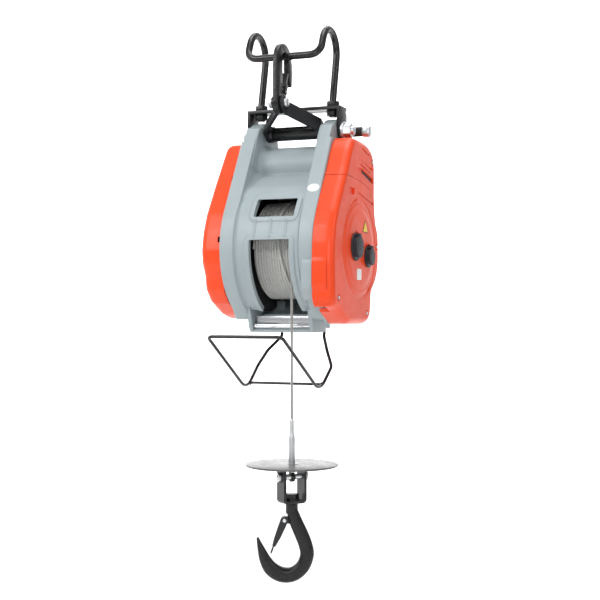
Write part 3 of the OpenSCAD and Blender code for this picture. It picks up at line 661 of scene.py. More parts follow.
def wound_rope():
    """The outer layer's turns side by side, and the last wrap that lies on them and leaves at the front."""
    turns = (WRAP_END - WRAP_START) / WRAP_PITCH
    steps = 110
    count = int(turns * steps)
    line = [
        drum_angle_point(
            WRAP_START + WRAP_PITCH * k / steps, WRAP_R + 0.12 * math.sin(k * 0.9), 360 * k / steps)
        for k in range(count + 1)
    ]
    layer = swept("rope_layer", line, ROPE_D / 2, 10)
    stops = [(-84, 36.6), (-40, 36.2), (0, 36), (90, 33), (180, 32), (250, 31), (285, 29.5), (330, 19),
             (372, 8.5), (400, 6), (430, 11), (480, 14), (560, 14)]
    smooth = curve_through(stops, 12)
    radii = [-ROPE_Y - 5.2 * step_up(505, 555, a) for a, _ in smooth]
    last = [drum_angle_point(x, r, a) for (a, x), r in zip(smooth, radii)]
    cross = swept("last_wrap", spaced(last, 4), ROPE_D / 2, 12)
    under = spun("rope_under", [(-40, 60.5), (-40, 85.5), (49, 85.5), (49, 60.5)], 0, 0, 96)
    rope = joined("wound_rope", [layer, cross, under])
    add_rope_uv(rope)
    settle(rope, "drum", LIT_WOUND_ROPE, ["rope_winding"], 50)


def add_rope_uv(rope):
    """A UV map from the place on the drum: along the turn and across the rope."""
    layer = rope.data.uv_layers.new(name="lay")
    for loop in rope.data.loops:
        p = rope.data.vertices[loop.vertex_index].co
        y, z = (p.y - DRUM_Y) / MM, (p.z - DRUM_Z) / MM
        along = math.atan2(z, y) * 90 / 5.4
        across = (p.x / MM) * 0.55 + math.hypot(y, z) * 0.3
        layer.data[loop.index].uv = (along, across)


wound_rope()

# ---------- cast frame ----------

WALL_IN, WALL_OUT = 61.4, 89.4
EAR_IN, EAR_OUT = 59.5, 85.0
CARRY = (20.0, 221.0)
TIE = (62.0, 224.0)
MOTOR = (20.0, 157.0)
ROLLER = (-50, -138)
PIVOT = (57, -136)
SHELL_R = 125.0
SKIN_T = 7


def frame_outline():
    return softened(resampled(
        arc(*CARRY, 22, 20, 140, 10) + [(-14, 230), (-26, 214)] + arc(0, 0, 130, 150, 236, 24)
        + [(-60, -127), (58, -127)] + arc(0, 0, 116, 300, 385, 16) + [(98, 90), (94, 170), (78, 206)]
        + arc(*TIE, 12, -10, 100, 5), 2.6), 3)


def skin_profile():
    """Middle part of the casting in y and z, from the bottom of the front over the motor to the back."""
    barrel = arc(*MOTOR, 38, 205, 96, 22)
    front = arc(0, 0, SHELL_R, 241.5, 138, 64)
    lead = [(-84, 99), (-68, 113), (-48, 125.5), (-30, 135.5)]
    back = [(34, 194), (56, 192.5), (74, 188), (83, 178), (90, 150), (98, 118), (106, 84)]
    return [Vector(p) for p in front + lead + barrel + back + arc(0, 0, SHELL_R, 27, -88.5, 70)]


def evened(path, step, passes):
    found = [Vector((p.x, p.y, 0)) for p in path]
    found = spaced(found, step)
    for _ in range(passes):
        middle = [(a + b * 2 + c) / 4 for a, b, c in zip(found, found[1:], found[2:])]
        found = [found[0], *middle, found[-1]]
    return [(p.x, p.y) for p in found]


UPPER_WINDOW = (-29.0, 48.0, 56.0, 89.0)
LOWER_WINDOW = (-33.0, 44.0, -130.0, 15.0)
RIB_X = (-24.0, 6.0, 35.0)


def box_distance(x, z, window, rounding=4.0):
    """Signed distance to a rounded rectangle: negative inside."""
    x0, x1, z0, z1 = window
    dx = abs(x - (x0 + x1) / 2) - (x1 - x0) / 2 + rounding
    dz = abs(z - (z0 + z1) / 2) - (z1 - z0) / 2 + rounding
    return math.hypot(max(dx, 0), max(dz, 0)) + min(max(dx, dz), 0) - rounding


def skin_relief(x, y, z):
    """How far the middle part's surface stands proud: fillets to the walls, rims and ribs."""
    near_motor = step_up(112, 140, z) * step_up(-60, -30, y) if z > 0 else 0
    fillet = 5.5 + 9 * near_motor
    reach = abs(x) - (WALL_IN - fillet)
    rise = fillet - math.sqrt(max(fillet * fillet - reach * reach, 0.0)) if reach > 0 else 0.0
    rise = min(rise, fillet)
    if y < 20:
        for window, width, high in ((UPPER_WINDOW, 7.5, 2.6), (LOWER_WINDOW, 7.5, 2.2)):
            d = box_distance(x, z, window)
            rise += high * (1 - step_up(width, width + 2.5, d))
        if 20 < z < 52:
            for place in RIB_X:
                rise += 1.7 * (1 - step_up(0.9, 2.6, abs(x - place)))
    return rise


def skin():
    """The shell round the drum with the motor's barrel, one solid 7 mm thick."""
    profile = evened(skin_profile(), 1.7, 5)
    count = 76
    across = [-(WALL_IN + 1) + 2 * (WALL_IN + 1) * k / count for k in range(count + 1)]
    outer, inner = [], []
    for k, (y, z) in enumerate(profile):
        a, b = profile[max(k - 1, 0)], profile[min(k + 1, len(profile) - 1)]
        t = Vector((b[0] - a[0], b[1] - a[1])).normalized()
        n = Vector((-t.y, t.x))
        outer.append([(x, y + n.x * skin_relief(x, y, z), z + n.y * skin_relief(x, y, z)) for x in across])
        inner.append([(x, y - n.x * SKIN_T, z - n.y * SKIN_T) for x in across])
    rings = [o + i[::-1] for o, i in zip(outer, inner)]
    return loft("skin", rings)


def side_wall(sign):
    """One side of the frame, with rounded rims. Its ear is cut back outside and thicker inside."""
    outline = frame_outline()
    wall = slab("wall", outline, WALL_IN, WALL_OUT, 2.6, 5)
    ear = softened(resampled(
        arc(*CARRY, 22, 20, 140, 12) + [(-14, 230), (-26, 214), (-52, 158), (-20, 140), (60, 140), (94, 150),
                                        (94, 170), (78, 206)] + arc(*TIE, 12, -10, 100, 6), 2.2), 3)
    lug = slab("lug", inset(ear, 0.5), EAR_IN, EAR_OUT - 0.4, 3.2, 5)
    top = box_solid("top", (EAR_OUT, -70, 204), (WALL_OUT + 2, 140, 260))
    wall = combined(wall, top, "DIFFERENCE")
    wall = combined(wall, lug, "UNION")
    if sign < 0:
        flip(wall)
    return wall


def flip(obj):
    """Mirrors a mesh to the other side."""
    for vertex in obj.data.vertices:
        vertex.co.x = -vertex.co.x
    mesh = bmesh.new()
    mesh.from_mesh(obj.data)
    bmesh.ops.recalc_face_normals(mesh, faces=mesh.faces)
    mesh.to_mesh(obj.data)
    mesh.free()
    return obj


def window_cutter(window, y0, y1, rounding=2.2):
    """A rounded rectangle in x and z, extruded along y."""
    x0, x1, z0, z1 = window
    edge = []
    for cx, cz, start in ((x1, z1, 0), (x0, z1, 90), (x0, z0, 180), (x1, z0, 270)):
        ox = cx - rounding if cx == x1 else cx + rounding
        oz = cz - rounding if cz == z1 else cz + rounding
        edge += arc(ox, oz, rounding, start, start + 90, 6)
    return loft("cutter", [[(x, y, z) for x, z in edge] for y in (y0, y1)])


def outlet():
    """The chute under the drum: two cheeks, a front lip, a back wall and the right wall's foot."""
    cheek = softened(resampled(
        [(-70, -103), (-57.5, -141), (-52, -150.5), (5, -150.5), (24, -119), (-22, -122)], 2), 3)
    parts = [slab("cheek", cheek, 55.6, WALL_IN + 2, 1.2), slab("cheek", cheek, -WALL_IN - 2, -55.6, 1.2)]
    lip = softened(resampled([(-52, -150.4), (-42, -150.4), (-42, -145), (-52, -145)], 1), 2)
    parts.append(slab("lip", lip, -WALL_IN + 0.4, WALL_IN - 0.4))
    back = softened(resampled([(-1.2, -150.3), (4.2, -150.3), (4.2, -117), (-1.2, -117)], 1), 2)
    parts.append(slab("back", back, -WALL_IN + 0.4, WALL_IN - 0.4))
    foot = softened(resampled([(-62, -124), (-53, -134.5), (52, -134.5), (60, -124)], 2), 2)
    parts.append(slab("foot", foot, 84, WALL_OUT - 0.3, 1.5))
    return parts


def front_pad():
    """Raised pad low on the right wall, with sloped lower end."""
    outline = [(-118, -10), (-131.8, -24), (-132.6, -30), (-132.6, -66), (-131, -72), (-117, -92),
               (-108, -92), (-108, -10)]
    return slab("pad", softened(resampled(outline, 1.5), 2), 69, WALL_OUT - 0.4, 1.4)


def pivot_lugs():
    lug = softened(resampled(arc(*PIVOT, 9, 180, 360, 14) + [(70, -98), (46, -106)], 1.5), 1)
    parts = []
    for sign in (-1, 1):
        for x0, x1 in ((34, 39.8), (47.2, 52)):
            parts.append(slab("lug", lug, *sorted((sign * x0, sign * x1)), 0.8, 2))
        parts.append(slab("root", softened(resampled([(46, -112), (72, -112), (72, -92), (46, -92)], 2), 2),
                          *sorted((sign * 34, sign * 52)), 0.8, 2))
    return parts


def cast_frame():
    body = skin()
    for sign in (-1, 1):
        body = combined(body, side_wall(sign), "UNION")
    for part in [*outlet(), front_pad(), *pivot_lugs()]:
        body = combined(body, part, "UNION")
    for sign in (-1, 1):
        ring = spun("boss", rounded_profile(WALL_IN - 3, WALL_IN + 1, 27, 1.2), *MOTOR)
        if sign < 0:
            flip(ring)
        body = combined(body, ring, "UNION")
    cutters = [window_cutter(UPPER_WINDOW, -150, -60), window_cutter(LOWER_WINDOW, -150, -45)]
    cutters.append(spun("bore", [(-100, 12.7), (100, 12.7)], 0, 0, 48))
    cutters.append(spun("carry", [(-100, 10), (100, 10)], *CARRY, 48))
    cutters.append(spun("tie", [(-100, 6.1), (100, 6.1)], *TIE, 32))
    cutters.append(spun("roller", [(-60, 3.05), (60, 3.05)], *ROLLER, 24))
    for sign in (-1, 1):
        cutters.append(spun("pin", [(sign * 30, 2.6), (sign * 56, 2.6)], *PIVOT, 24))
    for cutter in cutters:
        body = combined(body, cutter, "DIFFERENCE")
    body.name = "cast_frame"
    return settle(body, "hoist", CASTING, ["drum_frame"], 38)


cast_frame()

# ---------- covers ----------

COVER_IN = 89.6
COVER_X = 129.0
MIDDLE = (8.0, 30.0)
DISC_AT = (8.0, 2.0)
POWER_AT, CONTROL_AT = (-25, 4), (45, -11)
RIGHT_SCREWS = [(-104, -88), (50, -116), (110, 10), (84, 168)]
LEFT_SCREWS = [(-80, -88), (60, -112), (112, 0), (82, 176), (-60, 108)]
LEFT_CLIPS = [(-60, 128), (-122, 12)]
SEAM = [
    (-90, 132), (-43, 129), (-18, 128), (7, 126), (71, 115), (73, 104), (120, 104), (120, 240), (-90, 240),
]


def right_outline():
    return softened(resampled([
        (-10, 204), (-22, 200), (-36, 184), (-59, 145), (-113, 64), (-126, 36), (-132, 8), (-134, -27),
        (-132, -92), (-124, -103), (-100, -110), (-52, -132), (-40, -135), (50, -136), (66, -132), (73, -122),
        (78, -84), (84, -76), (106, -60), (118, -42), (124, -20), (124, 25), (120, 38), (108, 54), (101, 78),
        (99, 100), (99, 166), (95, 180), (84, 192), (66, 199), (48, 202)], 2.4), 4)


def left_outline():
    return softened(resampled([
        (22, 204), (-12, 201), (-24, 184), (-66, 124), (-104, 66), (-119, 32), (-126, -4), (-123, -28),
        (-111, -52), (-107, -76), (-88, -97), (-46, -118), (-20, -125), (50, -128), (72, -122), (92, -104),
        (112, -70), (124, -20), (124, 25), (112, 60), (101, 100), (99, 166), (90, 188), (66, 200)], 2.4), 4)


def scaled(outline, k):
    return [(MIDDLE[0] + (y - MIDDLE[0]) * k, MIDDLE[1] + (z - MIDDLE[1]) * k) for y, z in outline]


def cover_shell(name, outline, relief, sign):
    """A hollow cover: an outer skin from rim to face by way of a soft corner, and an inner skin."""
    rings = []
    corner_in, steps = 0.072, 10
    face, depth = COVER_X, 15.0
    rings.append((COVER_IN, 0.996))
    rings.append((COVER_IN + 0.8, 1.0))
    for k in range(5):
        rings.append((COVER_IN + 2 + (face - depth - COVER_IN - 2) * k / 4, 1.0))
    for k in range(1, steps + 1):
        turn = math.pi / 2 * k / steps
        rings.append((face - depth + depth * math.sin(turn), 1 - corner_in * (1 - math.cos(turn))))
    drawn = [[(x, *p) for p in scaled(outline, s)] for x, s in rings]
    flat = 1 - corner_in
    shrink = 74
    for k in range(1, shrink):
        s = flat * (1 - k / shrink)
        drawn.append([(face + relief(*p), *p) for p in scaled(outline, s)])
    drawn.append([(face - 4, *p) for p in scaled(outline, 0.006)])
    for s in (0.3, 0.6, 0.85, 0.9):
        drawn.append([(face - 4, *p) for p in scaled(outline, s)])
    drawn.append([(face - 9, *p) for p in scaled(outline, 0.945)])
    drawn.append([(face - 20, *p) for p in scaled(outline, 0.97)])
    drawn.append([(COVER_IN, *p) for p in scaled(outline, 0.972)])
    shell = loft(name, drawn, closed=True)
    if sign < 0:
        flip(shell)
    return shell


def right_relief(y, z):
    """Raised round panel with a sloped shoulder, and a shallow groove round it."""
    r = math.hypot(y - DISC_AT[0], z - DISC_AT[1])
    rise = 1.3 * (1 - step_up(81, 84, r)) + 1.7 * (1 - step_up(63, 78, r))
    rise -= 0.9 * (1 - step_up(0.8, 2.2, abs(r - 90)))
    return rise


def left_relief(y, z):
    """Raised round panel with a ring groove."""
    r = math.hypot(y, z)
    rise = 3 * (1 - step_up(80, 85, r))
    rise -= 1.2 * (1 - step_up(1.2, 3, abs(r - 66)))
    rise -= 1.2 * (1 - step_up(1.2, 3, abs(r - 30)))
    return rise


# Vent slots on the right cover: start and end in y and z, width and depth
VENTS = [
    (18, 167, 79, 155, 6, 7), (26, 187, 63, 179, 3.2, 8), (15, 157, 67, 147, 2.8, 8),
    (4, 105, 88, 90, 5.5, 7),
]
VENT_POCKET = [(-11, 148.5), (24, 150), (86, 137), (89, 128), (72, 128.5), (-4, 134.5)]
VENT_WINDOW = [(26, 149), (84, 136.5), (86, 130), (28, 143)]
SMALL_POCKET = [(-50, 98), (-21, 98), (-21, 110), (-50, 110)]


def face_pocket(outline, depth):
    """A soft-cornered pocket in the right cover's face."""
    ring = softened(resampled(outline, 1.2), 3)
    return loft("pocket", [[(x, *p) for p in ring] for x in (COVER_X - depth, COVER_X + 5)])


def slot_cutter(y0, z0, y1, z1, width, depth):
    """A long pocket in the cover's face, deeper along its lower edge, like a louvre."""
    t = Vector((y1 - y0, z1 - z0)).normalized()
    n = Vector((-t.y, t.x))
    base = math.degrees(math.atan2(t.y, t.x))
    shape = []
    for cy, cz, start in ((y1, z1, -90), (y0, z0, 90)):
        shape += arc(cy, cz, width / 2, base + start, base + start + 180, 8)

    def floor(p):
        side = ((p[0] - y0) * n.x + (p[1] - z0) * n.y) / width
        return COVER_X - depth * (0.5 - side)

    return loft("slot", [[(floor(p), *p) for p in shape], [(COVER_X + 5, *p) for p in shape]])


def right_cover():
    outline = right_outline()
    shell = cover_shell("right_shell", outline, right_relief, 1)
    side = [(-112, -8), (-133.5, -17), (-136, -25), (-136, -64), (-134, -72), (-126, -97), (-112, -97)]
    block = slab("block", softened(resampled(side, 1.5), 2), COVER_IN, 117, 1.8)
    hollow = slab("hollow", [(-126, -20), (-110, -10), (-100, -90), (-126, -86)], COVER_IN - 1, 110)
    block = combined(block, hollow, "DIFFERENCE")
    shell = combined(shell, block, "UNION")
    foot = slab("foot", softened(resampled([(-118, -100), (-100, -98), (-82, -140), (-124, -140)], 2), 2),
                COVER_IN - 2, 109)
    shell = combined(shell, foot, "DIFFERENCE")
    for *place, width, depth in VENTS:
        shell = combined(shell, slot_cutter(*place, width, depth), "DIFFERENCE")
    shell = combined(shell, face_pocket(VENT_POCKET, 3.1), "DIFFERENCE")
    shell = combined(shell, face_pocket(VENT_WINDOW, 9), "DIFFERENCE")
    shell = combined(shell, face_pocket(SMALL_POCKET, 3.2), "DIFFERENCE")
    for place, r in ((POWER_AT, 18.2), (CONTROL_AT, 14.2)):
        shell = combined(shell, spun("hole", [(110, r), (140, r)], *place, 48), "DIFFERENCE")
    for place in RIGHT_SCREWS:
        pocket = spun("pocket", [(COVER_X - 2.2, 6.2), (COVER_X + 6, 6.6)], *place, 32)
        shell = combined(shell, pocket, "DIFFERENCE")
    upper = shell.copy()
    upper.data = shell.data.copy()
    bpy.context.scene.collection.objects.link(upper)
    lower = combined(shell, slab("seam", SEAM, COVER_IN - 5, COVER_X + 10), "DIFFERENCE")
    above = [(y + 0.5, z + 0.9) for y, z in SEAM]
    upper = combined(upper, slab("seam", above, COVER_IN - 5, COVER_X + 10), "INTERSECT")
    lower.name, upper.name = "right_lower_cover", "right_upper_cover"
    settle(lower, "hoist", ORANGE, ["right_cover_lower"], 36)
    settle(upper, "hoist", ORANGE, ["right_cover_upper"], 36)


def left_cover():
    outline = left_outline()
    shell = cover_shell("left_shell", outline, left_relief, -1)
    for y, z in LEFT_CLIPS:
        clip = slab("clip", [(y - 9, z), (y + 9, z), (y + 9, z + 10), (y - 9, z + 10)], -96, -89)
        shell = combined(shell, clip, "DIFFERENCE")
    for place in LEFT_SCREWS:
        pocket = spun("pocket", [(-COVER_X - 6, 6.6), (-COVER_X + 2.2, 6.2)], *place, 32)
        shell = combined(shell, pocket, "DIFFERENCE")
    shell.name = "left_cover_shell"
    settle(shell, "hoist", ORANGE, ["left_cover"], 36)


right_cover()
left_cover()

# ---------- labels and hoods ----------

FACE_X = COVER_X + 3


def plate_on_face(name, outline, low, high, material, replaced=()):
    plate = slab(name, outline, FACE_X + low, FACE_X + high, 0.12, 2)
    return settle(plate, "hoist", material, replaced, 40)


def blank_labels():
    """A white plate, a yellow triangle with a dark rim, and a white oval on the casting."""
    plate = softened(resampled([(-16, -55), (8, -55), (8, -35), (-16, -35)], 1.5), 2)
    plate_on_face("plate_label", plate, -0.1, 0.5, LABEL, ["labels"])
    triangle = [(16, 33), (46, 33), (31, 56)]
    middle = (31, 40.7)
    shrunk = [(middle[0] + (y - middle[0]) * 0.84, middle[1] + (z - middle[1]) * 0.84) for y, z in triangle]
    plate_on_face("triangle_rim", softened(resampled(triangle, 1.2), 2), -0.1, 0.4, PLASTIC)
    plate_on_face("triangle_label", softened(resampled(shrunk, 1.0), 2), 0.3, 0.55, YELLOW)
    oval = []
    for k in range(40):
        turn = 2 * math.pi * k / 40
        z = 107 + 7.4 * math.sin(turn)
        oval.append((75.5 + 11.2 * math.cos(turn), z))
    rings = []
    for proud in (0.35, -0.3):
        rings.append([(x, wall_front(z) - proud, z) for x, z in oval])
    settle(loft("oval_label", rings), "hoist", LABEL, (), 40)


def wall_front(z):
    """The y of the walls' front edge at height z."""
    outline = frame_outline()
    found = []
    for a, b in zip(outline, outline[1:] + outline[:1]):
        if (a[1] - z) * (b[1] - z) <= 0 and a[1] != b[1]:
            found.append(a[0] + (b[0] - a[0]) * (z - a[1]) / (b[1] - a[1]))
    return min(found)


def socket_hoods():
    """A raised orange lip over each socket's upper rear."""
    hoods = []
    for (y, z), r, start, end in ((POWER_AT, 28.3, 8, 82), (CONTROL_AT, 23.4, 28, 118)):
        path = [(FACE_X + 0.6, y + r * math.cos(math.radians(a)), z + r * math.sin(math.radians(a)))
                for a in range(start, end, 3)]
        sizes = []
        for k in range(len(path)):
            share = math.sin(math.pi * (k + 0.5) / len(path)) ** 0.4
            sizes.append((2.3 * share, 3.4 * share))
        hoods.append(swept("hood", path, sizes, 12, flat=(0, 0, 1)))
    settle(joined("socket_hoods", hoods), "hoist", ORANGE, (), 50)


blank_labels()
socket_hoods()

# ---------- hanger and forged bars ----------

LEG_X = 72.0
STUD_Y = 22.0
PIPE_Y = 4
BAR_R, CROWN_R, PIPE_R = 6.75, 38, 24.15
CROWN_Z = 375 - (CROWN_R - BAR_R - PIPE_R)


def hanger_bar():
    half = rounded_path([(LEG_X, STUD_Y, 247), (LEG_X, STUD_Y, 278), (LEG_X, 41, 360)], [40], 6)[:-1]
    half += [Vector((LEG_X, *p)) for p in arc(PIPE_Y, CROWN_Z, CROWN_R, -12, 150, 27)]
    half += corner((LEG_X, -31, 383), (LEG_X, -45, 352.5), (0, -45, 352.5), 20, 10)
    path = spaced(half + mirrored(half), 4)
    bar = swept("hanger_bar", path, BAR_R, 24)
    settle(bar, "hanger", ROD, ["hanger_rod"], 60)


hanger_bar()


def limit_wire():
    """The hinged wire frame: one bent bar, a welded cross bar, two eyes and weld beads."""
    half = rounded_path([(43, 56, -140), (43, 53, -160), (60, 24, -186), (74, 10, -214), (72, -48, -256),
                         (69, -219, -155), (0, -219, -155)], [8, 14, 20, 42, 10], 12)
    bar = swept("bar", spaced(half[:-1] + mirrored(half[:-1]), 3), 3.0, 14)
    cross = swept("cross", [(-72 + 144 * k / 40, -32, -244.4) for k in range(41)], 2.6, 12)
    parts = [bar, cross]
    for sign in (-1, 1):
        eye = spun("eye", rounded_profile(40.2, 46.8, 6.5, 1.0), *PIVOT, 32)
        hole = spun("hole", [(38, 2.55), (49, 2.55)], *PIVOT, 24)
        eye = combined(eye, hole, "DIFFERENCE")
        if sign < 0:
            flip(eye)
        parts.append(eye)
        bead = [(sign * 71, -32 + 4.4 * math.cos(a * 0.7), -244.4 + 3.4 * math.sin(a * 0.7))
                for a in range(10)]
        parts.append(swept("bead", bead, 1.5, 8))
    settle(joined("limit_wire", parts), "limit_frame", ROD, ["limit_frame"], 50)


limit_wire()

# Middle of the hook's bar from shank to tip, and its half widths in and across its plane
HOOK_LINE = [
    (0, -14), (3, -26), (9, -42), (17, -60), (24, -78), (27, -97), (19, -118), (2, -131), (-18, -132),
    (-36, -122), (-47, -106), (-54, -88), (-61, -66),
]
HOOK_SIZES = [
    (9, 9), (11, 10), (12, 10), (12.5, 10), (12.5, 10), (12.5, 10.5), (12.5, 11), (13, 11), (13.5, 11),
    (13, 10.5), (10.5, 9.5), (7, 7.5), (2, 3),
]


def hook_section(size, steps=28):
    """The hook's section: a soft-cornered wedge, thick at the inside of the bend."""
    a, b = size
    power = 0.78
    ring = []
    for k in range(steps):
        angle = 2 * math.pi * k / steps
        c, s = math.cos(angle), math.sin(angle)
        ring.append((a * math.copysign(abs(c) ** power, c), b * math.copysign(abs(s) ** power, s)))
    return ring


def forged_hook():
    line = curve_through(HOOK_LINE, 10)
    sizes = curve_through(HOOK_SIZES, 10)
    rings = []
    for i, ((x, h), size) in enumerate(zip(line, sizes)):
        a, b = line[max(i - 1, 0)], line[min(i + 1, len(line) - 1)]
        t = Vector((b[0] - a[0], b[1] - a[1])).normalized()
        n = Vector((-t.y, t.x))
        ring = [(x + n.x * u, v, h + n.y * u) for u, v in hook_section(size)]
        rings.append(turned(ring, HOOK_TURN, SHANK_TOP))
    body = loft("hook", rings)
    shank = around_rope("shank", [
        (-24, 9), (-23, 11), (-6.4, 11), (-5.3, 10), (-5.2, 8), (0.3, 8), (0.3, 13),
        (2.8, 13), (3.3, 12.6), (3.3, 8), (11, 8), (12, 7)], SHANK_TOP)
    boss = loft("boss", [
        turned([(x, y, h) for x, h in circle(-12, -35, r, 32)], HOOK_TURN, SHANK_TOP)
        for y, r in ((-6, 6), (-5.2, 7), (5.2, 7), (6, 6))])
    root = loft("root", [
        turned([(-14, y, -40), (2, y, -42), (2, y, -28), (-12, y, -29)], HOOK_TURN, SHANK_TOP)
        for y in (-5.6, 5.6)])
    nut = loft("nut", [
        turned([(*p, h) for p in circle(0, 0, r, 6)], HOOK_TURN, SHANK_TOP)
        for h, r in ((3.4, 11.8), (4.2, 12.7), (11.2, 12.7), (12, 11.8))])
    for part in (shank, boss, root, nut):
        body = combined(body, part, "UNION")
    body.name = "forged_hook"
    settle(body, "load_hook", FORGED, ["load_hook"], 40)


def latch_point(u, v, h):
    """A point on the latch: u across its plate, v its width, h down from the pivot, at rest."""
    tilt = math.radians(22)
    x = -13 + u * math.cos(tilt) + h * math.sin(tilt)
    z = -35 - u * math.sin(tilt) + h * math.cos(tilt)
    return turned([(x, v, z)], HOOK_TURN, SHANK_TOP)[0]


def hook_latch():
    """A pressed latch: a channel that narrows to its tip, with two cheeks round the pin."""
    parts = []
    for side in (-1, 1):
        edge = arc(0, 0, 6.6, 0, 180, 9)
        edge += [(-6.2, -14), (-4.6, -40), (-3.2, -50), (2.4, -50), (5.2, -30), (6.4, -10)]
        plate = [[latch_point(u, side * (v - 2.2 * step_up(20, 50, -h)), h) for u, h in edge]
                 for v in (8.65, 6.75)]
        parts.append(loft("cheek", plate))
    web = []
    for h, half, thick in (
        (-16, 8.4, 1.0), (-22, 8.3, 1.1), (-34, 7.6, 1.1), (-46, 6.6, 1.2), (-56, 5.8, 1.5),
        (-62, 5.2, 1.4), (-64, 4.4, 0.8),
    ):
        lean = -3.6 + 3.2 * step_up(16, 60, -h)
        web.append([latch_point(lean + u, v, h) for u, v in
                    ((-thick, -half), (-thick, half), (thick, half), (thick, -half))])
    parts.append(loft("web", web))
    settle(joined("latch_plate", parts), "hook_latch", BLACK, ["hook_latch"], 40)
    rims = ((-9.9, 2.4), (-9.6, 3.1), (-8.8, 3.3), (-8.8, 2), (8.8, 2), (8.8, 3.3), (9.6, 3.1), (9.9, 2.4))
    pin = loft("latch_pin", [[latch_point(u, y, h) for u, h in circle(0, 0, r, 24)] for y, r in rims])
    settle(pin, "hook_latch", ZINC, [], 40)


def stop_plate():
    """The round stop disc with a rolled edge, a centre hole and a small tag hole."""
    rim = [(0, 81.2), (0.5, 82.3), (1.2, 82.9), (2.3, 82.9), (3, 82.3), (3.5, 81.2)]
    plate = around_rope("stop_plate", rim, -386.5, 128)
    tag = math.radians(-30)
    for x, y, r in ((0, 0, 6.1), (14 * math.cos(tag), 14 * math.sin(tag), 3)):
        edge = circle(ROPE_X + x, ROPE_Y + y, r, 32)
        hole = loft("hole", [[(*p, z) for p in edge] for z in (-392, -380)])
        plate = combined(plate, hole, "DIFFERENCE")
    settle(plate, "hook_block", DISC, ["stop_disc"], 30)


def clevis_strap():
    """The U of flat bar that carries the hook, with bent corners."""
    def side(offset, r):
        w = 23.0 - offset
        return [(w, 0.0)] + arc(w - r, -CLEVIS_HIGH + offset + r, r, 0, -90, 6)

    outer, inner = side(0, 8.0), side(CLEVIS_T, 3.2)
    outer = outer + [(-x, h) for x, h in reversed(outer)]
    inner = inner + [(-x, h) for x, h in reversed(inner)]
    ring = outer + inner[::-1]
    rings = []
    for y, k in ((-14, 0.6), (-13.4, 0), (13.4, 0), (14, 0.6)):
        rings.append(turned([(x - math.copysign(k, x) * (i < len(outer)), y, h + k * (i < len(outer)))
                             for i, (x, h) in enumerate(ring)], CLEVIS_TURN, BLOCK_TOP))
    strap = loft("clevis_strap", rings)
    bore = circle(0, BOLT_DOWN, 5.1, 32)
    hole = loft("hole", [turned([(x, *p) for p in bore], CLEVIS_TURN, BLOCK_TOP) for x in (-30, 30)])
    strap = combined(strap, hole, "DIFFERENCE")
    shank = around_rope("shank", [(-3, 8.1), (9, 8.1)], BLOCK_TOP - CLEVIS_HIGH)
    strap = combined(strap, shank, "DIFFERENCE")
    settle(strap, "hook_block", BLACK, ["clevis"], 36)


forged_hook()
hook_latch()
stop_plate()
clevis_strap()

# ---------- smaller parts kept from the CAD with rounded edges ----------

BEVELS = [
    ("hanger_bracket", 1.3, BLACK), ("hanger_nuts", 0.7, BLACK), ("carry_bolt", 0.7, ZINC),
    ("carry_nut", 0.7, ZINC), ("spacer_tube", 0.6, ROD), ("yoke_arm_left", 0.8, BLACK),
    ("yoke_arm_right", 0.8, BLACK), ("yoke_bolt", 0.5, ZINC), ("safety_hook", 1.2, FORGED),
    ("safety_latch_pin", 0.4, ZINC), ("safety_latch", 0.4, BLACK), ("ear_bushes", 0.3, BRASS),
    ("tie_bolt", 0.7, ZINC), ("tie_sleeve", 0.8, RUBBER), ("outlet_guide", 0.4, STEEL),
    ("power_socket", 0.5, PLASTIC), ("control_socket", 0.5, PLASTIC), ("power_cap", 0.8, PLASTIC),
    ("control_cap", 0.8, PLASTIC), ("outlet_roller", 0.8, CHROME), ("outlet_pin", 0.3, CHROME),
    ("limit_pins", 0.3, ZINC), ("limit_switch", 0.8, PLASTIC), ("clevis_bolt", 0.6, ZINC),
]
PLAIN = {
    ZINC: ["cover_screws"], ALUMINIUM: ["gear_plate"], LAMINATION: ["motor_rotor"], IRON_AND_SHADE: ["drum"],
    BOARD: ["control_board"], COPPER: ["motor_stator", "brake_coil"],
    PLASTIC: ["vent_grille", "cooling_fan", "rope_clamp", "board_parts", "radio_receiver"],
    STEEL: ["gear_plate_studs", "rotor_bearings", "rotor_shaft", "motor_pinion", "brake_armature",
            "drum_shaft", "drum_bearings", "drum_gear", "idler_gear", "idler_shaft"],
}
BODY_OF = {n: b for b, nodes in frame["record"]["behaviour"]["bodies"].items() for n in nodes}

for node, width, material in BEVELS:
    bevelled(node, width, BODY_OF[node], material)
for material, nodes in PLAIN.items():
    for node in nodes:
        data = frame["nodes"][node].data
        data.materials.clear()
        data.materials.append(material)

# ---------- stage ----------


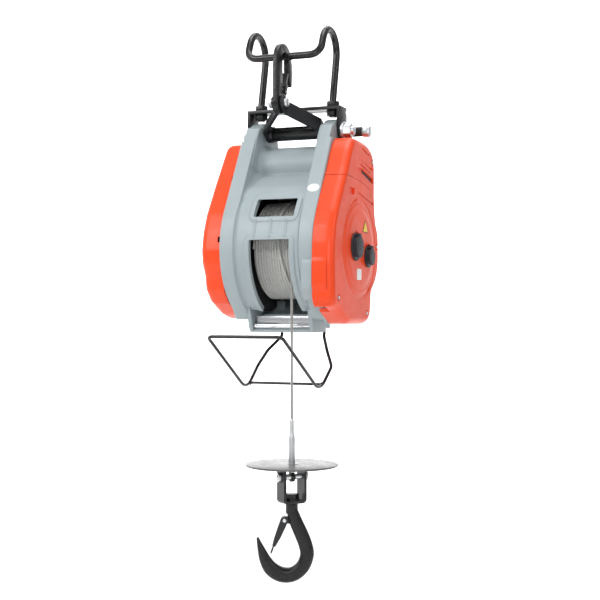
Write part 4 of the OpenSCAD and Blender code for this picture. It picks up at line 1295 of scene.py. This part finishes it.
def make_floor():
    """A pale floor that curves up into a backdrop."""
    floor_z, near, far, width, bend = -1.02, -4.0, 3.0, 9.0, 1.6
    line = [(near, floor_z), (far, floor_z)]
    line += [(far + bend * math.sin(math.radians(a)), floor_z + bend * (1 - math.cos(math.radians(a))))
             for a in range(9, 91, 9)]
    line.append((far + bend, 7.0))
    points = [(x, y, z) for x in (-width, width) for y, z in line]
    count = len(line)
    mesh = bpy.data.meshes.new("floor")
    mesh.from_pydata(points, [], [(k, k + count, k + count + 1, k + 1) for k in range(count - 1)])
    for face in mesh.polygons:
        face.use_smooth = True
    floor = bpy.data.objects.new("floor", mesh)
    floor.rotation_euler = (0, 0, VIEW_TURN)
    bpy.context.scene.collection.objects.link(floor)
    paper = bpy.data.materials.new("paper")
    paper.use_nodes = True
    shader = paper.node_tree.nodes["Principled BSDF"]
    shader.inputs["Base Color"].default_value = (0.9, 0.9, 0.9, 1)
    shader.inputs["Roughness"].default_value = 0.9
    floor.data.materials.append(paper)


def soft_box(name, place, aim, size, power):
    data = bpy.data.lights.new(name, "AREA")
    data.shape = "RECTANGLE"
    data.size, data.size_y = size
    data.energy = power
    light = bpy.data.objects.new(name, data)
    light.location = place
    light.rotation_euler = (Vector(aim) - Vector(place)).to_track_quat("-Z", "Y").to_euler()
    bpy.context.scene.collection.objects.link(light)


def make_light():
    middle = (0, 0, -0.4)
    soft_box("key", (-1.5, -2.3, 1.3), middle, (1.5, 1.5), 46)
    soft_box("right", (2.5, -1.2, 0.9), middle, (0.6, 1.6), 13)
    soft_box("front", (0.7, -2.4, 0.1), (0, 0, -0.35), (0.5, 0.8), 9)
    soft_box("top", (0.1, -0.2, 1.9), middle, (1.4, 1.4), 30)
    soft_box("left", (-2.4, 0.3, 0.0), middle, (0.8, 2.0), 12)
    soft_box("backdrop", (-0.8, 1.4, 2.4), (-1.4, 4.4, -0.2), (3.0, 1.0), 150)
    soft_box("backdrop_low", (-0.6, 1.6, 0.6), (-1.0, 4.4, -0.6), (3.0, 0.6), 60)
    world = bpy.data.worlds.new("studio")
    world.use_nodes = True
    world.node_tree.nodes["Background"].inputs["Color"].default_value = (0.95, 0.97, 1, 1)
    world.node_tree.nodes["Background"].inputs["Strength"].default_value = 0.42
    bpy.context.scene.world = world
    bpy.context.scene.view_settings.view_transform = "Standard"


make_floor()
make_light()
